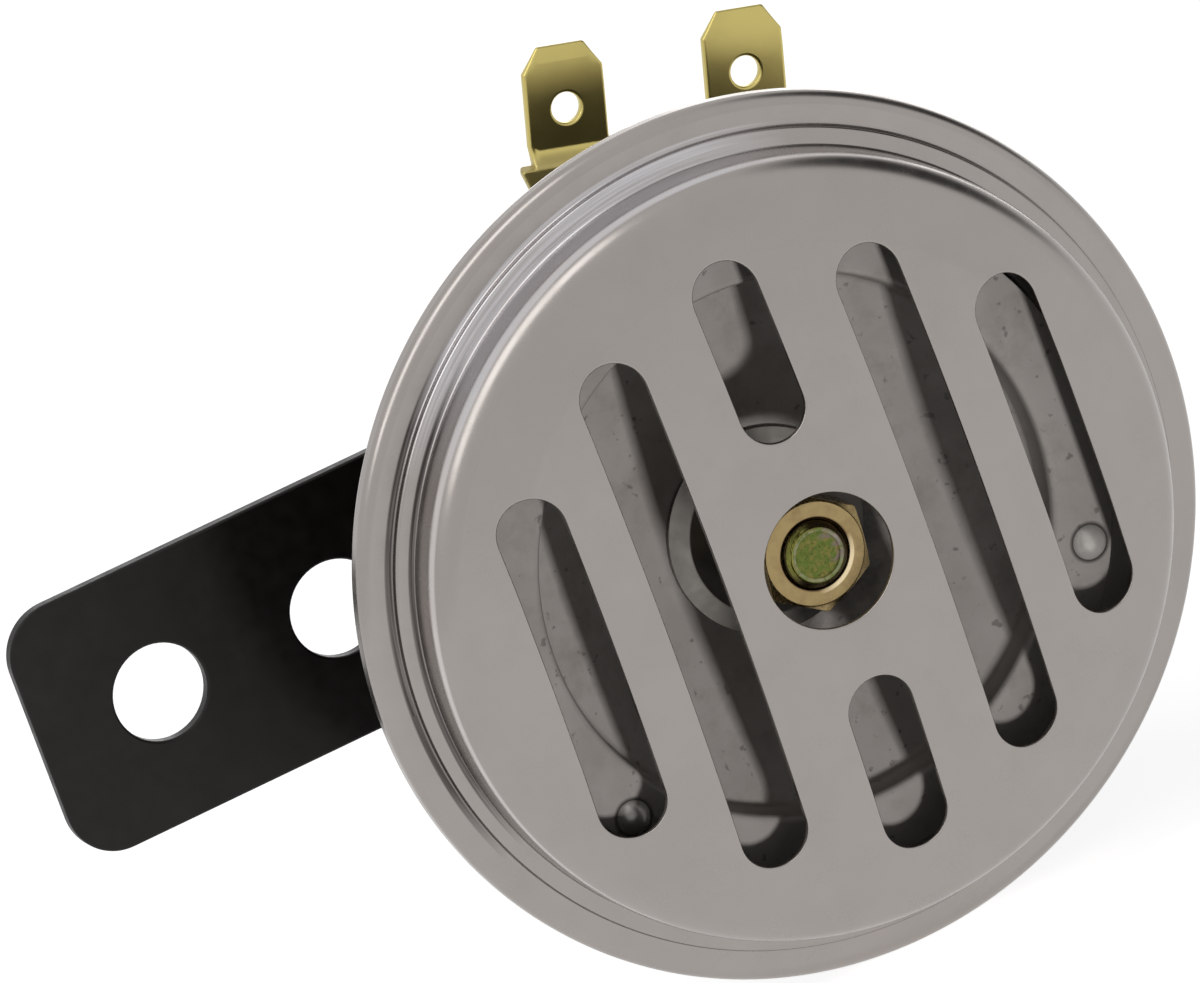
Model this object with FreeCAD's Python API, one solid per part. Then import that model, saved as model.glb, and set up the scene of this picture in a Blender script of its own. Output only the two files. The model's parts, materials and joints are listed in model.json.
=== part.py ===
import FreeCAD, Part
import math
import os

# Electric disc horn with a slotted front cover, two blade terminals and a strap bracket.
# Millimetres. The horn's own axes: Y along its axis from front to back, with Y = 0 on the
# front face of the rim, and Z up along the slots. Each piece is moved into the part's frame
# when it is written: the origin there is midway between the bracket's two free holes, on the
# bracket's rear face.

# Rear housing's radius: the rim, the cover and the tone disc follow it
housing_radius = 26.4

# Rim and front cover
rim_overhang = 6.6
cover_sheet = 0.5
rim_corner = 0.8
crimp_width = 2.8
step_width = 2.45
step_height = 0.75
step_corner = 0.55
step_root = 0.4
ledge_rise = 0.2
wall_inset = 3.8
wall_root = 0.3
shoulder_radius = 4.5
shoulder_slope = 15.0
face_height = 8.74
shoulder_width = 5.9
face_dome_radius = 143.0
face_hole_radius = 5.04

# Slots in the face: half width, side steps and the centres of their round ends
slot_half_width = 2.58
inner_slot_x = 10.58
outer_slot_x = 19.76
inner_slot_z = 17.66
outer_slot_z = 10.95
short_slot_low_z = 12.24
short_slot_high_z = 21.03

# Parts held in the rim
gasket_thickness = 0.2
gasket_setback = 1.8
diaphragm_thickness = 0.25
housing_sheet = 0.8
rim_clearance = 0.3

# Rear housing
housing_mouth_corner = 0.6
housing_corner = 2.0
shoulder_depth = 16.2
cup_radius = 15.5
cup_root = 0.8
cup_corner = 2.0
housing_depth = 29.2

# Diaphragm's dish
dish_clearance = 0.3
dish_inner_radius = 20.9
dish_corner = 1.0

# Tone disc: a flat seat in the middle, a dished floor, a short wall and a raised ring
disc_sheet = 0.5
disc_clearance = 4.3
disc_ring_height = 2.6
disc_seat_depth = 4.0
disc_seat_radius = 8.4
disc_seat_bend = 3.0
disc_floor_rise = 4.0
disc_wall_lean = 0.3
disc_floor_bend = 0.8
disc_ring_width = 4.8
disc_wall_bend = 0.6
damping_ring_thickness = 1.0
damping_ring_width = 3.0
disc_rivet_inset = 1.8
disc_rivet_first_angle = 95.6
disc_rivet_count = 3
disc_rivet_radius = 0.7
disc_rivet_head_radius = 1.3
disc_rivet_head_height = 0.75
disc_rivet_tail_height = 0.5

# Stud and what it carries
stud_radius = 2.5
stud_proud = 0.5
stud_chamfer = 0.44
nut_width = 8.0
nut_height = 4.0
nut_chamfer_radius = 3.85
nut_countersink = 0.5
lock_nut_turn = 10.0
flat_washer_radius = 7.7
flat_washer_thickness = 1.0
flat_washer_chamfer = 1.5
flat_washer_bevel = 0.5
spring_washer_radius = 4.4
spring_washer_thickness = 1.0
spring_washer_gap = 1.0
hub_spacer_radius = 5.0
hub_spacer_thickness = 1.9
thread_clearance = 0.03
hole_clearance = 0.1

# Armature, core and coil
armature_flange_radius = 9.5
armature_flange_thickness = 1.5
plunger_radius = 7.4
plunger_depth = 16.4
air_gap = 0.7
core_radius = 7.6
bobbin_clearance = 0.1
bobbin_wall = 0.8
bobbin_flange_thickness = 1.0
bobbin_flange_radius = 13.2
winding_radius = 12.6
winding_clearance = 0.05
yoke_radius = 20.0
yoke_thickness = 1.5
yoke_bore_clearance = 0.6
yoke_screw_clearance = 0.2
yoke_ear_clearance = 2.2
yoke_ear_width = 12.0
yoke_rivet_circle = 18.2
yoke_rivet_angles = (140.0, 220.0, 320.0)
yoke_rivet_radius = 1.0
yoke_rivet_head_radius = 1.7
yoke_rivet_head_height = 0.7

# Contact breaker, on the yoke's ear
pusher_width = 1.9
pusher_gap = 0.15
leaf_thickness = 0.3
leaf_width = 5.0
leaf_tip_x = 8.7
fixed_arm_thickness = 0.8
fixed_arm_width = 7.0
fixed_arm_tip_x = 10.6
contact_x = 12.2
contact_radius = 1.4
stack_setback = 0.6
stack_length = 6.2
leaf_tab = 1.2
insulator_thickness = 1.0
insulator_width = 9.0
contact_rivet_spacing = 4.4
contact_rivet_radius = 0.9
contact_rivet_head_radius = 1.6
contact_rivet_head_height = 0.7
fibre_bush_wall = 0.25

# Adjusting screw, bearing on the fixed arm's lug
adjusting_offset = 3.75
adjusting_angle = 29.23
adjusting_radius = 1.5
adjusting_proud = 4.2
adjusting_slot_width = 0.6
adjusting_slot_depth = 0.8
adjusting_nut_width = 5.5
adjusting_nut_height = 1.8
lug_radius = 2.2

# Terminals, measured along and across their own direction
terminal_angle = 15.5
terminal_spacing = 14.25
terminal_stagger = 0.25
terminal_sheet = 0.8
blade_width = 6.3
blade_tip = 35.27
blade_hole_distance = 30.53
blade_hole_radius = 1.15
blade_chamfer_across = 1.3
blade_chamfer_along = 1.9
blade_bevel_length = 1.2
blade_bevel_depth = 0.22
blade_start = 27.5
joggle_offset = 1.0
joggle_length = 0.9
ear_half_width = 4.35
neck_half_width = 3.6
neck_distance = 24.8
terminal_base_radius = 3.2
terminal_rivet_inset = 6.4
terminal_rivet_radius = 1.4
terminal_rivet_head_radius = 2.3
terminal_rivet_head_height = 0.8
terminal_hole_radius = 2.1
insulator_plate_thickness = 1.0
insulator_plate_inner = 16.6
insulator_plate_outer = 24.2
insulator_plate_half_length = 11.2
insulator_plate_corner = 2.5
inner_washer_radius = 2.8
inner_washer_clearance = 0.5

# Inner leads
lead_radius = 0.4
lead_bend = 1.2
lead_hole_radius = 1.2
lead_hole_circle = 10.9
lead_solder_gap = 0.05
lead_tab_z = 3.9
lug_lead_x = 14.6
lug_lead_z = 13.2

# Rear stud, bracket and its fasteners
rear_stud_radius = 3.0
rear_stud_proud = 1.8
rear_nut_width = 10.0
rear_nut_height = 5.0
rear_nut_chamfer_radius = 4.8
rear_washer_radius = 5.4
rear_washer_thickness = 1.4
rear_washer_gap = 1.2
bracket_thickness = 1.2
bracket_width = 20.0
bracket_corner = 4.0
bracket_hole_radius = 3.7
bracket_hole_pitch = 14.9
bracket_first_hole = 25.4
bracket_end_margin = 10.0

# How far a cutting shape runs past the faces that it cuts
past = 1.0

# Sizes and places that follow from the ones above
rim_radius = housing_radius + rim_overhang
crimp_inner_radius = rim_radius - crimp_width
step_radius = rim_radius - step_width
wall_radius = rim_radius - wall_inset
face_edge_radius = wall_radius - shoulder_width
disc_radius = wall_radius - disc_clearance
disc_rivet_circle = disc_radius - disc_rivet_inset
disc_wall_radius = disc_radius - disc_ring_width
disc_floor_radius = disc_wall_radius - disc_wall_lean

front_gasket_y = cover_sheet
diaphragm_y = front_gasket_y + gasket_thickness
rear_gasket_y = diaphragm_y + diaphragm_thickness
housing_flange_y = rear_gasket_y + gasket_thickness
crimp_y = housing_flange_y + housing_sheet
rim_thickness = crimp_y + cover_sheet
clamped_radius = rim_radius - cover_sheet - rim_clearance

disc_back_y = disc_seat_depth + disc_sheet
hub_y = disc_back_y + hub_spacer_thickness
armature_y = hub_y + diaphragm_thickness
armature_flange_back_y = armature_y + armature_flange_thickness
core_y = plunger_depth + air_gap
spring_washer_y = disc_seat_depth - flat_washer_thickness
clamp_nut_y = spring_washer_y - spring_washer_thickness
lock_nut_y = clamp_nut_y - nut_height
stud_end_y = lock_nut_y - nut_height - stud_proud

shoulder_inner_y = shoulder_depth - housing_sheet
cup_floor_y = housing_depth - housing_sheet
yoke_y = shoulder_inner_y - yoke_thickness
leaf_back_y = yoke_y - insulator_thickness
leaf_y = leaf_back_y - leaf_thickness
fixed_arm_back_y = leaf_y - insulator_thickness
fixed_arm_y = fixed_arm_back_y - fixed_arm_thickness
top_insulator_y = fixed_arm_y - insulator_thickness

gasket_inner_radius = housing_radius + gasket_setback
housing_bore = housing_radius - housing_sheet
dish_outer_radius = housing_bore - dish_clearance
yoke_ear_reach = housing_bore - yoke_ear_clearance
stack_outer_x = yoke_ear_reach - stack_setback
stack_inner_x = stack_outer_x - stack_length
contact_rivet_x = stack_outer_x - stack_length / 2
adjusting_circle = cup_radius + adjusting_offset
adjusting_x = adjusting_circle * math.cos(math.radians(adjusting_angle))
adjusting_z = adjusting_circle * math.sin(math.radians(adjusting_angle))

terminal_rivet_distance = housing_radius - terminal_rivet_inset
terminal_base_y = shoulder_depth + insulator_plate_thickness
blade_y = terminal_base_y + joggle_offset
ear_distance = blade_start - joggle_length
bracket_back_y = housing_depth + bracket_thickness
rear_nut_y = bracket_back_y + rear_washer_thickness
stud_hole_radius = stud_radius + hole_clearance
yoke_bore_radius = plunger_radius + yoke_bore_clearance
origin_x = -(bracket_first_hole + bracket_hole_pitch / 2)

V = FreeCAD.Vector
axis_y = V(0, 1, 0)


def unit(x, y):
    length = math.hypot(x, y)
    return x / length, y / length


def corner_arc(before, corner, after):
    """Tangent points and middle of the round at a corner of a path."""
    x, y, radius = corner
    ax, ay = unit(before[0] - x, before[1] - y)
    bx, by = unit(after[0] - x, after[1] - y)
    half = math.acos(ax * bx + ay * by) / 2
    reach = radius / math.tan(half)
    mx, my = unit(ax + bx, ay + by)
    middle = radius / math.sin(half) - radius
    start = V(x + ax * reach, y + ay * reach, 0)
    end = V(x + bx * reach, y + by * reach, 0)
    return start, V(x + mx * middle, y + my * middle, 0), end


def path_edges(path):
    """Edges of an open path of (radius, y, corner radius) points, with its corners rounded."""
    edges = []
    here = V(path[0][0], path[0][1], 0)
    for i in range(1, len(path)):
        x, y, radius = path[i]
        if radius > 0:
            start, middle, end = corner_arc(path[i - 1], path[i], path[i + 1])
            edges.append(Part.makeLine(here, start))
            edges.append(Part.Arc(start, middle, end).toShape())
            here = end
        else:
            edges.append(Part.makeLine(here, V(x, y, 0)))
            here = V(x, y, 0)
    return edges


def side_step(path, distance):
    """The same path moved to its left by a distance, with its corner radii adapted."""
    moved = []
    for i, (x, y, radius) in enumerate(path):
        before = path[max(i - 1, 0)]
        after = path[min(i + 1, len(path) - 1)]
        first = unit(x - before[0], y - before[1]) if i > 0 else None
        last = unit(after[0] - x, after[1] - y) if i < len(path) - 1 else first
        first = first or last
        nx, ny = -first[1] - last[1], first[0] + last[0]
        scale = distance * 2 / (nx * nx + ny * ny)
        turn = first[0] * last[1] - first[1] * last[0]
        new_radius = radius - distance * math.copysign(1, turn) if radius > 0 else 0
        moved.append((x + nx * scale, y + ny * scale, new_radius))
    return moved


def spun(edges):
    """Solid of revolution about the horn's axis, from closed edges drawn as (radius, y)."""
    face = Part.Face(Part.Wire(Part.sortEdges(edges)[0]))
    return face.revolve(V(0, 0, 0), axis_y, 360)


def ends_joined(one, other):
    """Straight edges that close two side by side paths at both ends."""
    pairs = ((one[0], other[0]), (one[-1], other[-1]))
    return [Part.makeLine(V(a[0], a[1], 0), V(b[0], b[1], 0)) for a, b in pairs]


def spun_sheet(path, sheet):
    """A spun sheet-metal part: the path is one face, and the metal lies to its left."""
    other = side_step(path, sheet)
    return spun(path_edges(path) + path_edges(other) + ends_joined(path, other))


def turned(points):
    """A turned part, from the corners of its half section."""
    corners = [V(r, y, 0) for r, y in points]
    return spun(list(Part.makePolygon(corners + corners[:1]).Edges))


def drum(radius, y0, y1, x=0, z=0):
    return Part.makeCylinder(radius, y1 - y0, V(x, y0, z), axis_y)


def bore(radius, y0, y1, x=0, z=0):
    """A cutter for a round hole, run past both faces."""
    return drum(radius, y0 - past, y1 + past, x, z)


def ring(inner, outer, y0, y1, x=0, z=0):
    return drum(outer, y0, y1, x, z).cut(bore(inner, y0, y1, x, z))


def plate(edges, y0, y1):
    """A flat plate between two depths, from the closed edges of its outline in X and Z."""
    face = Part.Face(Part.Wire(Part.sortEdges(edges)[0]))
    face.translate(V(0, y0, 0))
    return face.extrude(V(0, y1 - y0, 0))


def rounded_outline(points):
    """Closed outline in X and Z, from (x, z, corner radius) points."""
    edges = []
    ends = []
    count = len(points)
    for i, (x, z, radius) in enumerate(points):
        if radius > 0:
            arc = corner_arc(points[i - 1], points[i], points[(i + 1) % count])
            start, middle, end = [V(p.x, 0, p.y) for p in arc]
            edges.append(Part.Arc(start, middle, end).toShape())
            ends.append((start, end))
        else:
            ends.append((V(x, 0, z), V(x, 0, z)))
    for i in range(count):
        start, end = ends[i - 1][1], ends[i][0]
        if start.distanceToPoint(end) > 1e-6:
            edges.append(Part.makeLine(start, end))
    return edges


def block(x0, x1, y0, y1, z0, z1):
    return Part.makeBox(x1 - x0, y1 - y0, z1 - z0, V(x0, y0, z0))


def obround(x, z0, z1, half_width, y0, y1):
    """A bar with round ends, between two end centres on one vertical line."""
    bar = block(x - half_width, x + half_width, y0, y1, z0, z1)
    return bar.fuse([drum(half_width, y0, y1, x, z) for z in (z0, z1)])


def on_circle(radius, angle):
    """X and Z of a point, with the angle in degrees from +X towards +Z."""
    return radius * math.cos(math.radians(angle)), radius * math.sin(math.radians(angle))


def hexagon_nut(width, height, chamfer_radius, bore_radius, y0):
    """A nut from depth y0: faces chamfered at 30 degrees and bore countersunk at both ends."""
    corner = width / math.sqrt(3)
    corners = [on_circle(corner, 60 * i) for i in range(6)]
    outline = rounded_outline([(x, z, 0) for x, z in corners])
    reach = corner + past
    drop = (reach - chamfer_radius) * math.tan(math.radians(30))
    mouth = bore_radius + nut_countersink
    y1 = y0 + height
    blank = turned([(bore_radius, y0 + nut_countersink), (mouth, y0), (chamfer_radius, y0),
                    (reach, y0 + drop), (reach, y1 - drop), (chamfer_radius, y1), (mouth, y1),
                    (bore_radius, y1 - nut_countersink)])
    return plate(outline, y0, y1).common(blank)


def split_ring(inner, outer, y0, thickness, gap):
    whole = ring(inner, outer, y0, y0 + thickness)
    y1 = y0 + thickness
    return whole.cut(block(0, outer + past, y0 - past, y1 + past, -gap / 2, gap / 2))


def rivet(x, z, radius, y0, y1, head_radius, head_height, tail_height):
    """A rivet whose domed head stands in front of y0 and whose flat tail lies behind y1."""
    shank = drum(radius, y0, y1, x, z)
    sphere_radius = (head_radius ** 2 + head_height ** 2) / (2 * head_height)
    centre = V(x, y0 - head_height + sphere_radius, z)
    head = Part.makeSphere(sphere_radius, centre)
    head = head.common(drum(head_radius + past, y0 - head_height, y0, x, z))
    tail = drum(head_radius, y1, y1 + tail_height, x, z)
    return shank.fuse([head, tail]).removeSplitter()


def wire_lead(points):
    """A round wire along straight runs joined by bends."""
    edges = []
    here = points[0]
    for i in range(1, len(points) - 1):
        back = (points[i - 1] - points[i]).normalize()
        ahead = (points[i + 1] - points[i]).normalize()
        half = back.getAngle(ahead) / 2
        reach = lead_bend / math.tan(half)
        start, end = points[i] + back * reach, points[i] + ahead * reach
        inward = (back + ahead).normalize()
        middle = points[i] + inward * (lead_bend / math.sin(half) - lead_bend)
        edges.append(Part.makeLine(here, start))
        edges.append(Part.Arc(start, middle, end).toShape())
        here = end
    edges.append(Part.makeLine(here, points[-1]))
    route = Part.Wire(edges)
    section = Part.Wire(Part.makeCircle(lead_radius, points[0], points[1] - points[0]))
    return route.makePipeShell([section], True, True)


def dome_y(radius):
    """Depth of the cover's domed face at a radius."""
    drop = face_dome_radius - math.sqrt(face_dome_radius ** 2 - radius ** 2)
    return drop - face_height


def front_cover():
    """Grille: domed face, sloping shoulder, stepped flange and crimped rim in one sheet."""
    edge_y = dome_y(face_edge_radius)
    slope = math.tan(math.radians(shoulder_slope))
    corner_y = edge_y + (wall_radius - face_edge_radius) * slope
    outside = [
        (face_edge_radius, edge_y, 0),
        (wall_radius, corner_y, shoulder_radius),
        (wall_radius, -step_height - ledge_rise, wall_root),
        (step_radius, -step_height, step_corner),
        (step_radius, 0, step_root),
        (rim_radius, 0, rim_corner),
        (rim_radius, rim_thickness, rim_corner),
        (crimp_inner_radius, rim_thickness, 0),
    ]
    inside = side_step(outside, cover_sheet)
    half = face_edge_radius / 2
    hole = face_hole_radius
    outer_dome = Part.Arc(V(hole, dome_y(hole), 0), V(half, dome_y(half), 0),
                          V(face_edge_radius, edge_y, 0)).toShape()
    inner_dome = Part.Arc(V(hole, dome_y(hole) + cover_sheet, 0),
                          V(half, dome_y(half) + cover_sheet, 0),
                          V(inside[0][0], inside[0][1], 0)).toShape()
    hole_wall = Part.makeLine(V(hole, dome_y(hole), 0), V(hole, dome_y(hole) + cover_sheet, 0))
    rim_end = ends_joined(outside, inside)[1]
    edges = path_edges(outside) + path_edges(inside)
    shell = spun(edges + [outer_dome, inner_dome, hole_wall, rim_end])
    return shell.cut(slot_cutters())


def slot_cutters():
    front, back = -face_height - past, -face_height / 2
    cutters = []
    for side in (-1, 1):
        low, high = sorted((side * short_slot_low_z, side * short_slot_high_z))
        cutters.append(obround(0, low, high, slot_half_width, front, back))
        for x, z in ((inner_slot_x, inner_slot_z), (outer_slot_x, outer_slot_z)):
            cutters.append(obround(side * x, -z, z, slot_half_width, front, back))
    return cutters


def rim_gasket(y0):
    return ring(gasket_inner_radius, clamped_radius, y0, y0 + gasket_thickness)


def diaphragm():
    """Thin steel disc, flat where the rim clamps it and dished to a flat middle."""
    rear_face = [
        (clamped_radius, rear_gasket_y, 0),
        (dish_outer_radius, rear_gasket_y, dish_corner),
        (dish_inner_radius, armature_y, dish_corner),
        (stud_hole_radius, armature_y, 0),
    ]
    return spun_sheet(rear_face, diaphragm_thickness)


def rear_housing():
    """Drawn steel cup: rim flange, wide shoulder for the terminals and a deeper middle cup."""
    outside = [
        (clamped_radius, crimp_y, 0),
        (housing_radius, crimp_y, housing_mouth_corner),
        (housing_radius, shoulder_depth, housing_corner),
        (cup_radius, shoulder_depth, cup_root),
        (cup_radius, housing_depth, cup_corner),
        (rear_stud_radius + hole_clearance, housing_depth, 0),
    ]
    shell = spun_sheet(outside, housing_sheet)
    y0, y1 = shoulder_inner_y, shoulder_depth
    holes = [bore(terminal_hole_radius, y0, y1, x, z)
             for x, z in terminal_places(terminal_rivet_distance)]
    holes += yoke_rivet_holes(y0, y1)
    holes.append(bore(adjusting_radius + thread_clearance, y0, y1, adjusting_x, adjusting_z))
    return shell.cut(holes)


def tone_disc():
    """Dished disc: flat seat, sloping floor, short wall and a raised ring with rivet holes."""
    front_face = [
        (stud_hole_radius, disc_seat_depth, 0),
        (disc_seat_radius, disc_seat_depth, disc_seat_bend),
        (disc_floor_radius, disc_seat_depth - disc_floor_rise, disc_floor_bend),
        (disc_wall_radius, -disc_ring_height, disc_wall_bend),
        (disc_radius, -disc_ring_height, 0),
    ]
    disc = spun_sheet(front_face, disc_sheet)
    y0 = -disc_ring_height
    return disc.cut(disc_rivet_holes(y0, y0 + disc_sheet))


def disc_rivet_holes(y0, y1):
    return [bore(disc_rivet_radius + hole_clearance, y0, y1, *place)
            for place in disc_rivet_places()]


def disc_rivet_places():
    step = 360 / disc_rivet_count
    return [on_circle(disc_rivet_circle, disc_rivet_first_angle + step * i)
            for i in range(disc_rivet_count)]


def damping_ring():
    y0 = disc_sheet - disc_ring_height
    outer = disc_radius - hole_clearance
    y1 = y0 + damping_ring_thickness
    return ring(outer - damping_ring_width, outer, y0, y1).cut(disc_rivet_holes(y0, y1))


def tone_disc_rivets():
    back = disc_sheet + damping_ring_thickness - disc_ring_height
    return [rivet(x, z, disc_rivet_radius, -disc_ring_height, back, disc_rivet_head_radius,
                  disc_rivet_head_height, disc_rivet_tail_height)
            for x, z in disc_rivet_places()]


def flat_washer():
    """Washer on the floor of the tone disc, with a shallow chamfer round its front."""
    y1 = disc_seat_depth
    y0 = y1 - flat_washer_thickness
    return turned([(stud_hole_radius, y0), (flat_washer_radius - flat_washer_chamfer, y0),
                   (flat_washer_radius, y0 + flat_washer_bevel), (flat_washer_radius, y1),
                   (stud_hole_radius, y1)])


def spring_washer():
    return split_ring(stud_hole_radius, spring_washer_radius, clamp_nut_y,
                      spring_washer_thickness, spring_washer_gap)


def stud_nut(y1):
    """A nut on the front stud, with its rear face at depth y1."""
    return hexagon_nut(nut_width, nut_height, nut_chamfer_radius,
                       stud_radius + thread_clearance, y1 - nut_height)


def hub_spacer():
    return ring(stud_hole_radius, hub_spacer_radius, disc_back_y, hub_y)


def armature():
    """Turned iron plunger with a flange behind the diaphragm and a threaded stud in front."""
    tip = stud_radius - stud_chamfer
    return turned([
        (0, stud_end_y), (tip, stud_end_y), (stud_radius, stud_end_y + stud_chamfer),
        (stud_radius, armature_y), (armature_flange_radius, armature_y),
        (armature_flange_radius, armature_flange_back_y),
        (plunger_radius, armature_flange_back_y), (plunger_radius, plunger_depth),
        (0, plunger_depth),
    ])


def contact_pusher():
    """Fibre ring round the plunger, which opens the contacts."""
    inner = plunger_radius + thread_clearance
    return ring(inner, inner + pusher_width, armature_flange_back_y, leaf_y - pusher_gap)


def pole_core():
    """Fixed iron core with a threaded stud that leaves through the back of the housing."""
    end = rear_nut_y + rear_nut_height + rear_stud_proud
    tip = rear_stud_radius - stud_chamfer
    return turned([
        (0, core_y), (core_radius, core_y), (core_radius, cup_floor_y),
        (rear_stud_radius, cup_floor_y), (rear_stud_radius, end - stud_chamfer),
        (tip, end), (0, end),
    ])


def lead_hole(y0, y1):
    x, z = on_circle(lead_hole_circle, 90 - terminal_angle)
    return bore(lead_hole_radius, y0, y1, x, z)


def coil_bobbin():
    inner = core_radius + bobbin_clearance
    tube = inner + bobbin_wall
    front, back = shoulder_inner_y, cup_floor_y
    t = bobbin_flange_thickness
    spool = turned([
        (inner, front), (bobbin_flange_radius, front), (bobbin_flange_radius, front + t),
        (tube, front + t), (tube, back - t), (bobbin_flange_radius, back - t),
        (bobbin_flange_radius, back), (inner, back),
    ])
    return spool.cut(lead_hole(front, front + t))


def coil_winding():
    tube = core_radius + bobbin_clearance + bobbin_wall
    front = shoulder_inner_y + bobbin_flange_thickness
    back = cup_floor_y - bobbin_flange_thickness
    gap = winding_clearance
    return ring(tube + gap, winding_radius, front + gap, back - gap)


def yoke_plate():
    """Iron plate across the mouth of the cup, with an ear that carries the contacts."""
    y0, y1 = yoke_y, shoulder_inner_y
    half = yoke_ear_width / 2
    whole = drum(yoke_radius, y0, y1).fuse(block(0, yoke_ear_reach, y0, y1, -half, half))
    holes = [bore(yoke_bore_radius, y0, y1), lead_hole(y0, y1)]
    holes += yoke_rivet_holes(y0, y1)
    holes += contact_rivet_holes(contact_rivet_radius + hole_clearance, y0, y1)
    holes += contact_rivet_holes(contact_rivet_head_radius + hole_clearance,
                                 y1 - contact_rivet_head_height + past, y1)
    holes += [bore(inner_washer_radius + inner_washer_clearance, y0, y1, x, z)
              for x, z in terminal_places(terminal_rivet_distance)]
    holes.append(bore(adjusting_radius + yoke_screw_clearance, y0, y1, adjusting_x, adjusting_z))
    return whole.cut(holes).removeSplitter()


def yoke_rivet_holes(y0, y1):
    return [bore(yoke_rivet_radius + hole_clearance, y0, y1,
                 *on_circle(yoke_rivet_circle, angle)) for angle in yoke_rivet_angles]


def yoke_rivets():
    return [rivet(*on_circle(yoke_rivet_circle, angle), yoke_rivet_radius, yoke_y,
                  shoulder_depth, yoke_rivet_head_radius, yoke_rivet_head_height,
                  yoke_rivet_head_height) for angle in yoke_rivet_angles]


def contact_rivet_rows():
    return (-contact_rivet_spacing / 2, contact_rivet_spacing / 2)


def contact_rivet_holes(radius, y0, y1):
    return [bore(radius, y0, y1, contact_rivet_x, z) for z in contact_rivet_rows()]


def contact_insulator(y0, width):
    """One fibre plate of the contact stack, drilled for the two rivets."""
    half = width / 2
    y1 = y0 + insulator_thickness
    whole = block(stack_inner_x, stack_outer_x, y0, y1, -half, half)
    return whole.cut(contact_rivet_holes(contact_rivet_radius + thread_clearance, y0, y1))


def contact_point(y0, y1):
    return drum(contact_radius, y0, y1, contact_x)


def moving_contact_arm():
    """Spring leaf from the stack to the pusher, with its contact point riveted in."""
    half = leaf_width / 2
    leaf = block(leaf_tip_x, stack_outer_x, leaf_y, leaf_back_y, -half, half)
    bush = contact_rivet_radius + fibre_bush_wall
    wide = block(stack_inner_x - leaf_tab, stack_outer_x, leaf_y, leaf_back_y,
                 -insulator_width / 2, insulator_width / 2)
    arm = leaf.fuse(wide).cut(contact_rivet_holes(bush, leaf_y, leaf_back_y))
    point = contact_point(leaf_y - insulator_thickness / 2, leaf_y)
    return arm.fuse(point).removeSplitter()


def fixed_contact_arm():
    """Stiff arm in front of the leaf, with a contact point and a lug for the adjusting screw."""
    y0, y1 = fixed_arm_y, fixed_arm_back_y
    half = fixed_arm_width / 2
    arm = block(fixed_arm_tip_x, stack_outer_x, y0, y1, -half, half)
    lug = obround(adjusting_x, 0, adjusting_z, lug_radius, y0, y1)
    bush = contact_rivet_radius + fibre_bush_wall
    arm = arm.fuse(lug).cut(contact_rivet_holes(bush, y0, y1))
    point = contact_point(y1, y1 + insulator_thickness / 2)
    return arm.fuse(point).removeSplitter()


def contact_rivets():
    """Two rivets through the whole contact stack and the yoke's ear."""
    return [rivet(contact_rivet_x, z, contact_rivet_radius, top_insulator_y,
                  shoulder_inner_y - contact_rivet_head_height, contact_rivet_head_radius,
                  contact_rivet_head_height, contact_rivet_head_height)
            for z in contact_rivet_rows()]


def adjusting_screw():
    """Slotted screw from the back, whose tip bears on the fixed arm's lug."""
    end = shoulder_depth + adjusting_proud
    x, z = adjusting_x, adjusting_z
    screw = drum(adjusting_radius, fixed_arm_back_y, end, x, z)
    half = adjusting_slot_width / 2
    reach = adjusting_radius + past
    slot = block(x - reach, x + reach, end - adjusting_slot_depth, end + past, z - half, z + half)
    return screw.cut(slot)


def adjusting_nut():
    chamfer_radius = adjusting_nut_width / 2 - hole_clearance
    nut = hexagon_nut(adjusting_nut_width, adjusting_nut_height, chamfer_radius,
                      adjusting_radius + thread_clearance, shoulder_depth)
    nut.translate(V(adjusting_x, 0, adjusting_z))
    return nut


def terminal_turn(shape):
    """Turns what is drawn pointing up to the terminals' own direction."""
    return shape.rotated(V(0, 0, 0), axis_y, terminal_angle)


def terminal_places(distance):
    """X and Z of both terminals' centre lines at a distance along their direction."""
    angle = math.radians(terminal_angle)
    places = []
    for side in (-1, 1):
        across = side * terminal_spacing / 2
        along = distance + side * terminal_stagger
        x = across * math.cos(angle) + along * math.sin(angle)
        z = along * math.cos(angle) - across * math.sin(angle)
        places.append((x, z))
    return places


def terminal_blank():
    """Side view of a terminal: flat base, joggle, and a blade bevelled at its tip."""
    low = terminal_rivet_distance - terminal_base_radius - past
    bend_start = ear_distance
    base, blade = terminal_base_y, blade_y
    t = terminal_sheet
    bevel = blade_tip - blade_bevel_length
    side = [
        (base, low), (base, bend_start), (blade, blade_start), (blade, bevel),
        (blade + blade_bevel_depth, blade_tip), (blade + t - blade_bevel_depth, blade_tip),
        (blade + t, bevel), (blade + t, blade_start), (base + t, bend_start), (base + t, low),
    ]
    corners = [V(-ear_half_width, y, z) for y, z in side]
    face = Part.Face(Part.makePolygon(corners + corners[:1]))
    return face.extrude(V(2 * ear_half_width, 0, 0))


def terminal_outline():
    """Front view of a terminal: round base round its rivet, flared ears, chamfered blade."""
    half = blade_width / 2
    y0, y1 = terminal_base_y - past, blade_y + terminal_sheet + past
    tip = half - blade_chamfer_across
    shoulder = blade_tip - blade_chamfer_along
    blade = [(-half, neck_distance, 0), (half, neck_distance, 0), (half, shoulder, 0),
             (tip, blade_tip, 0), (-tip, blade_tip, 0), (-half, shoulder, 0)]
    right = [(terminal_base_radius, terminal_rivet_distance, 0),
             (neck_half_width, neck_distance, 0), (ear_half_width, ear_distance, 0)]
    flare = right + [(-x, z, radius) for x, z, radius in reversed(right)]
    outline = plate(rounded_outline(blade), y0, y1)
    outline = outline.fuse(plate(rounded_outline(flare), y0, y1))
    return outline.fuse(drum(terminal_base_radius, y0, y1, 0, terminal_rivet_distance))


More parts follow.
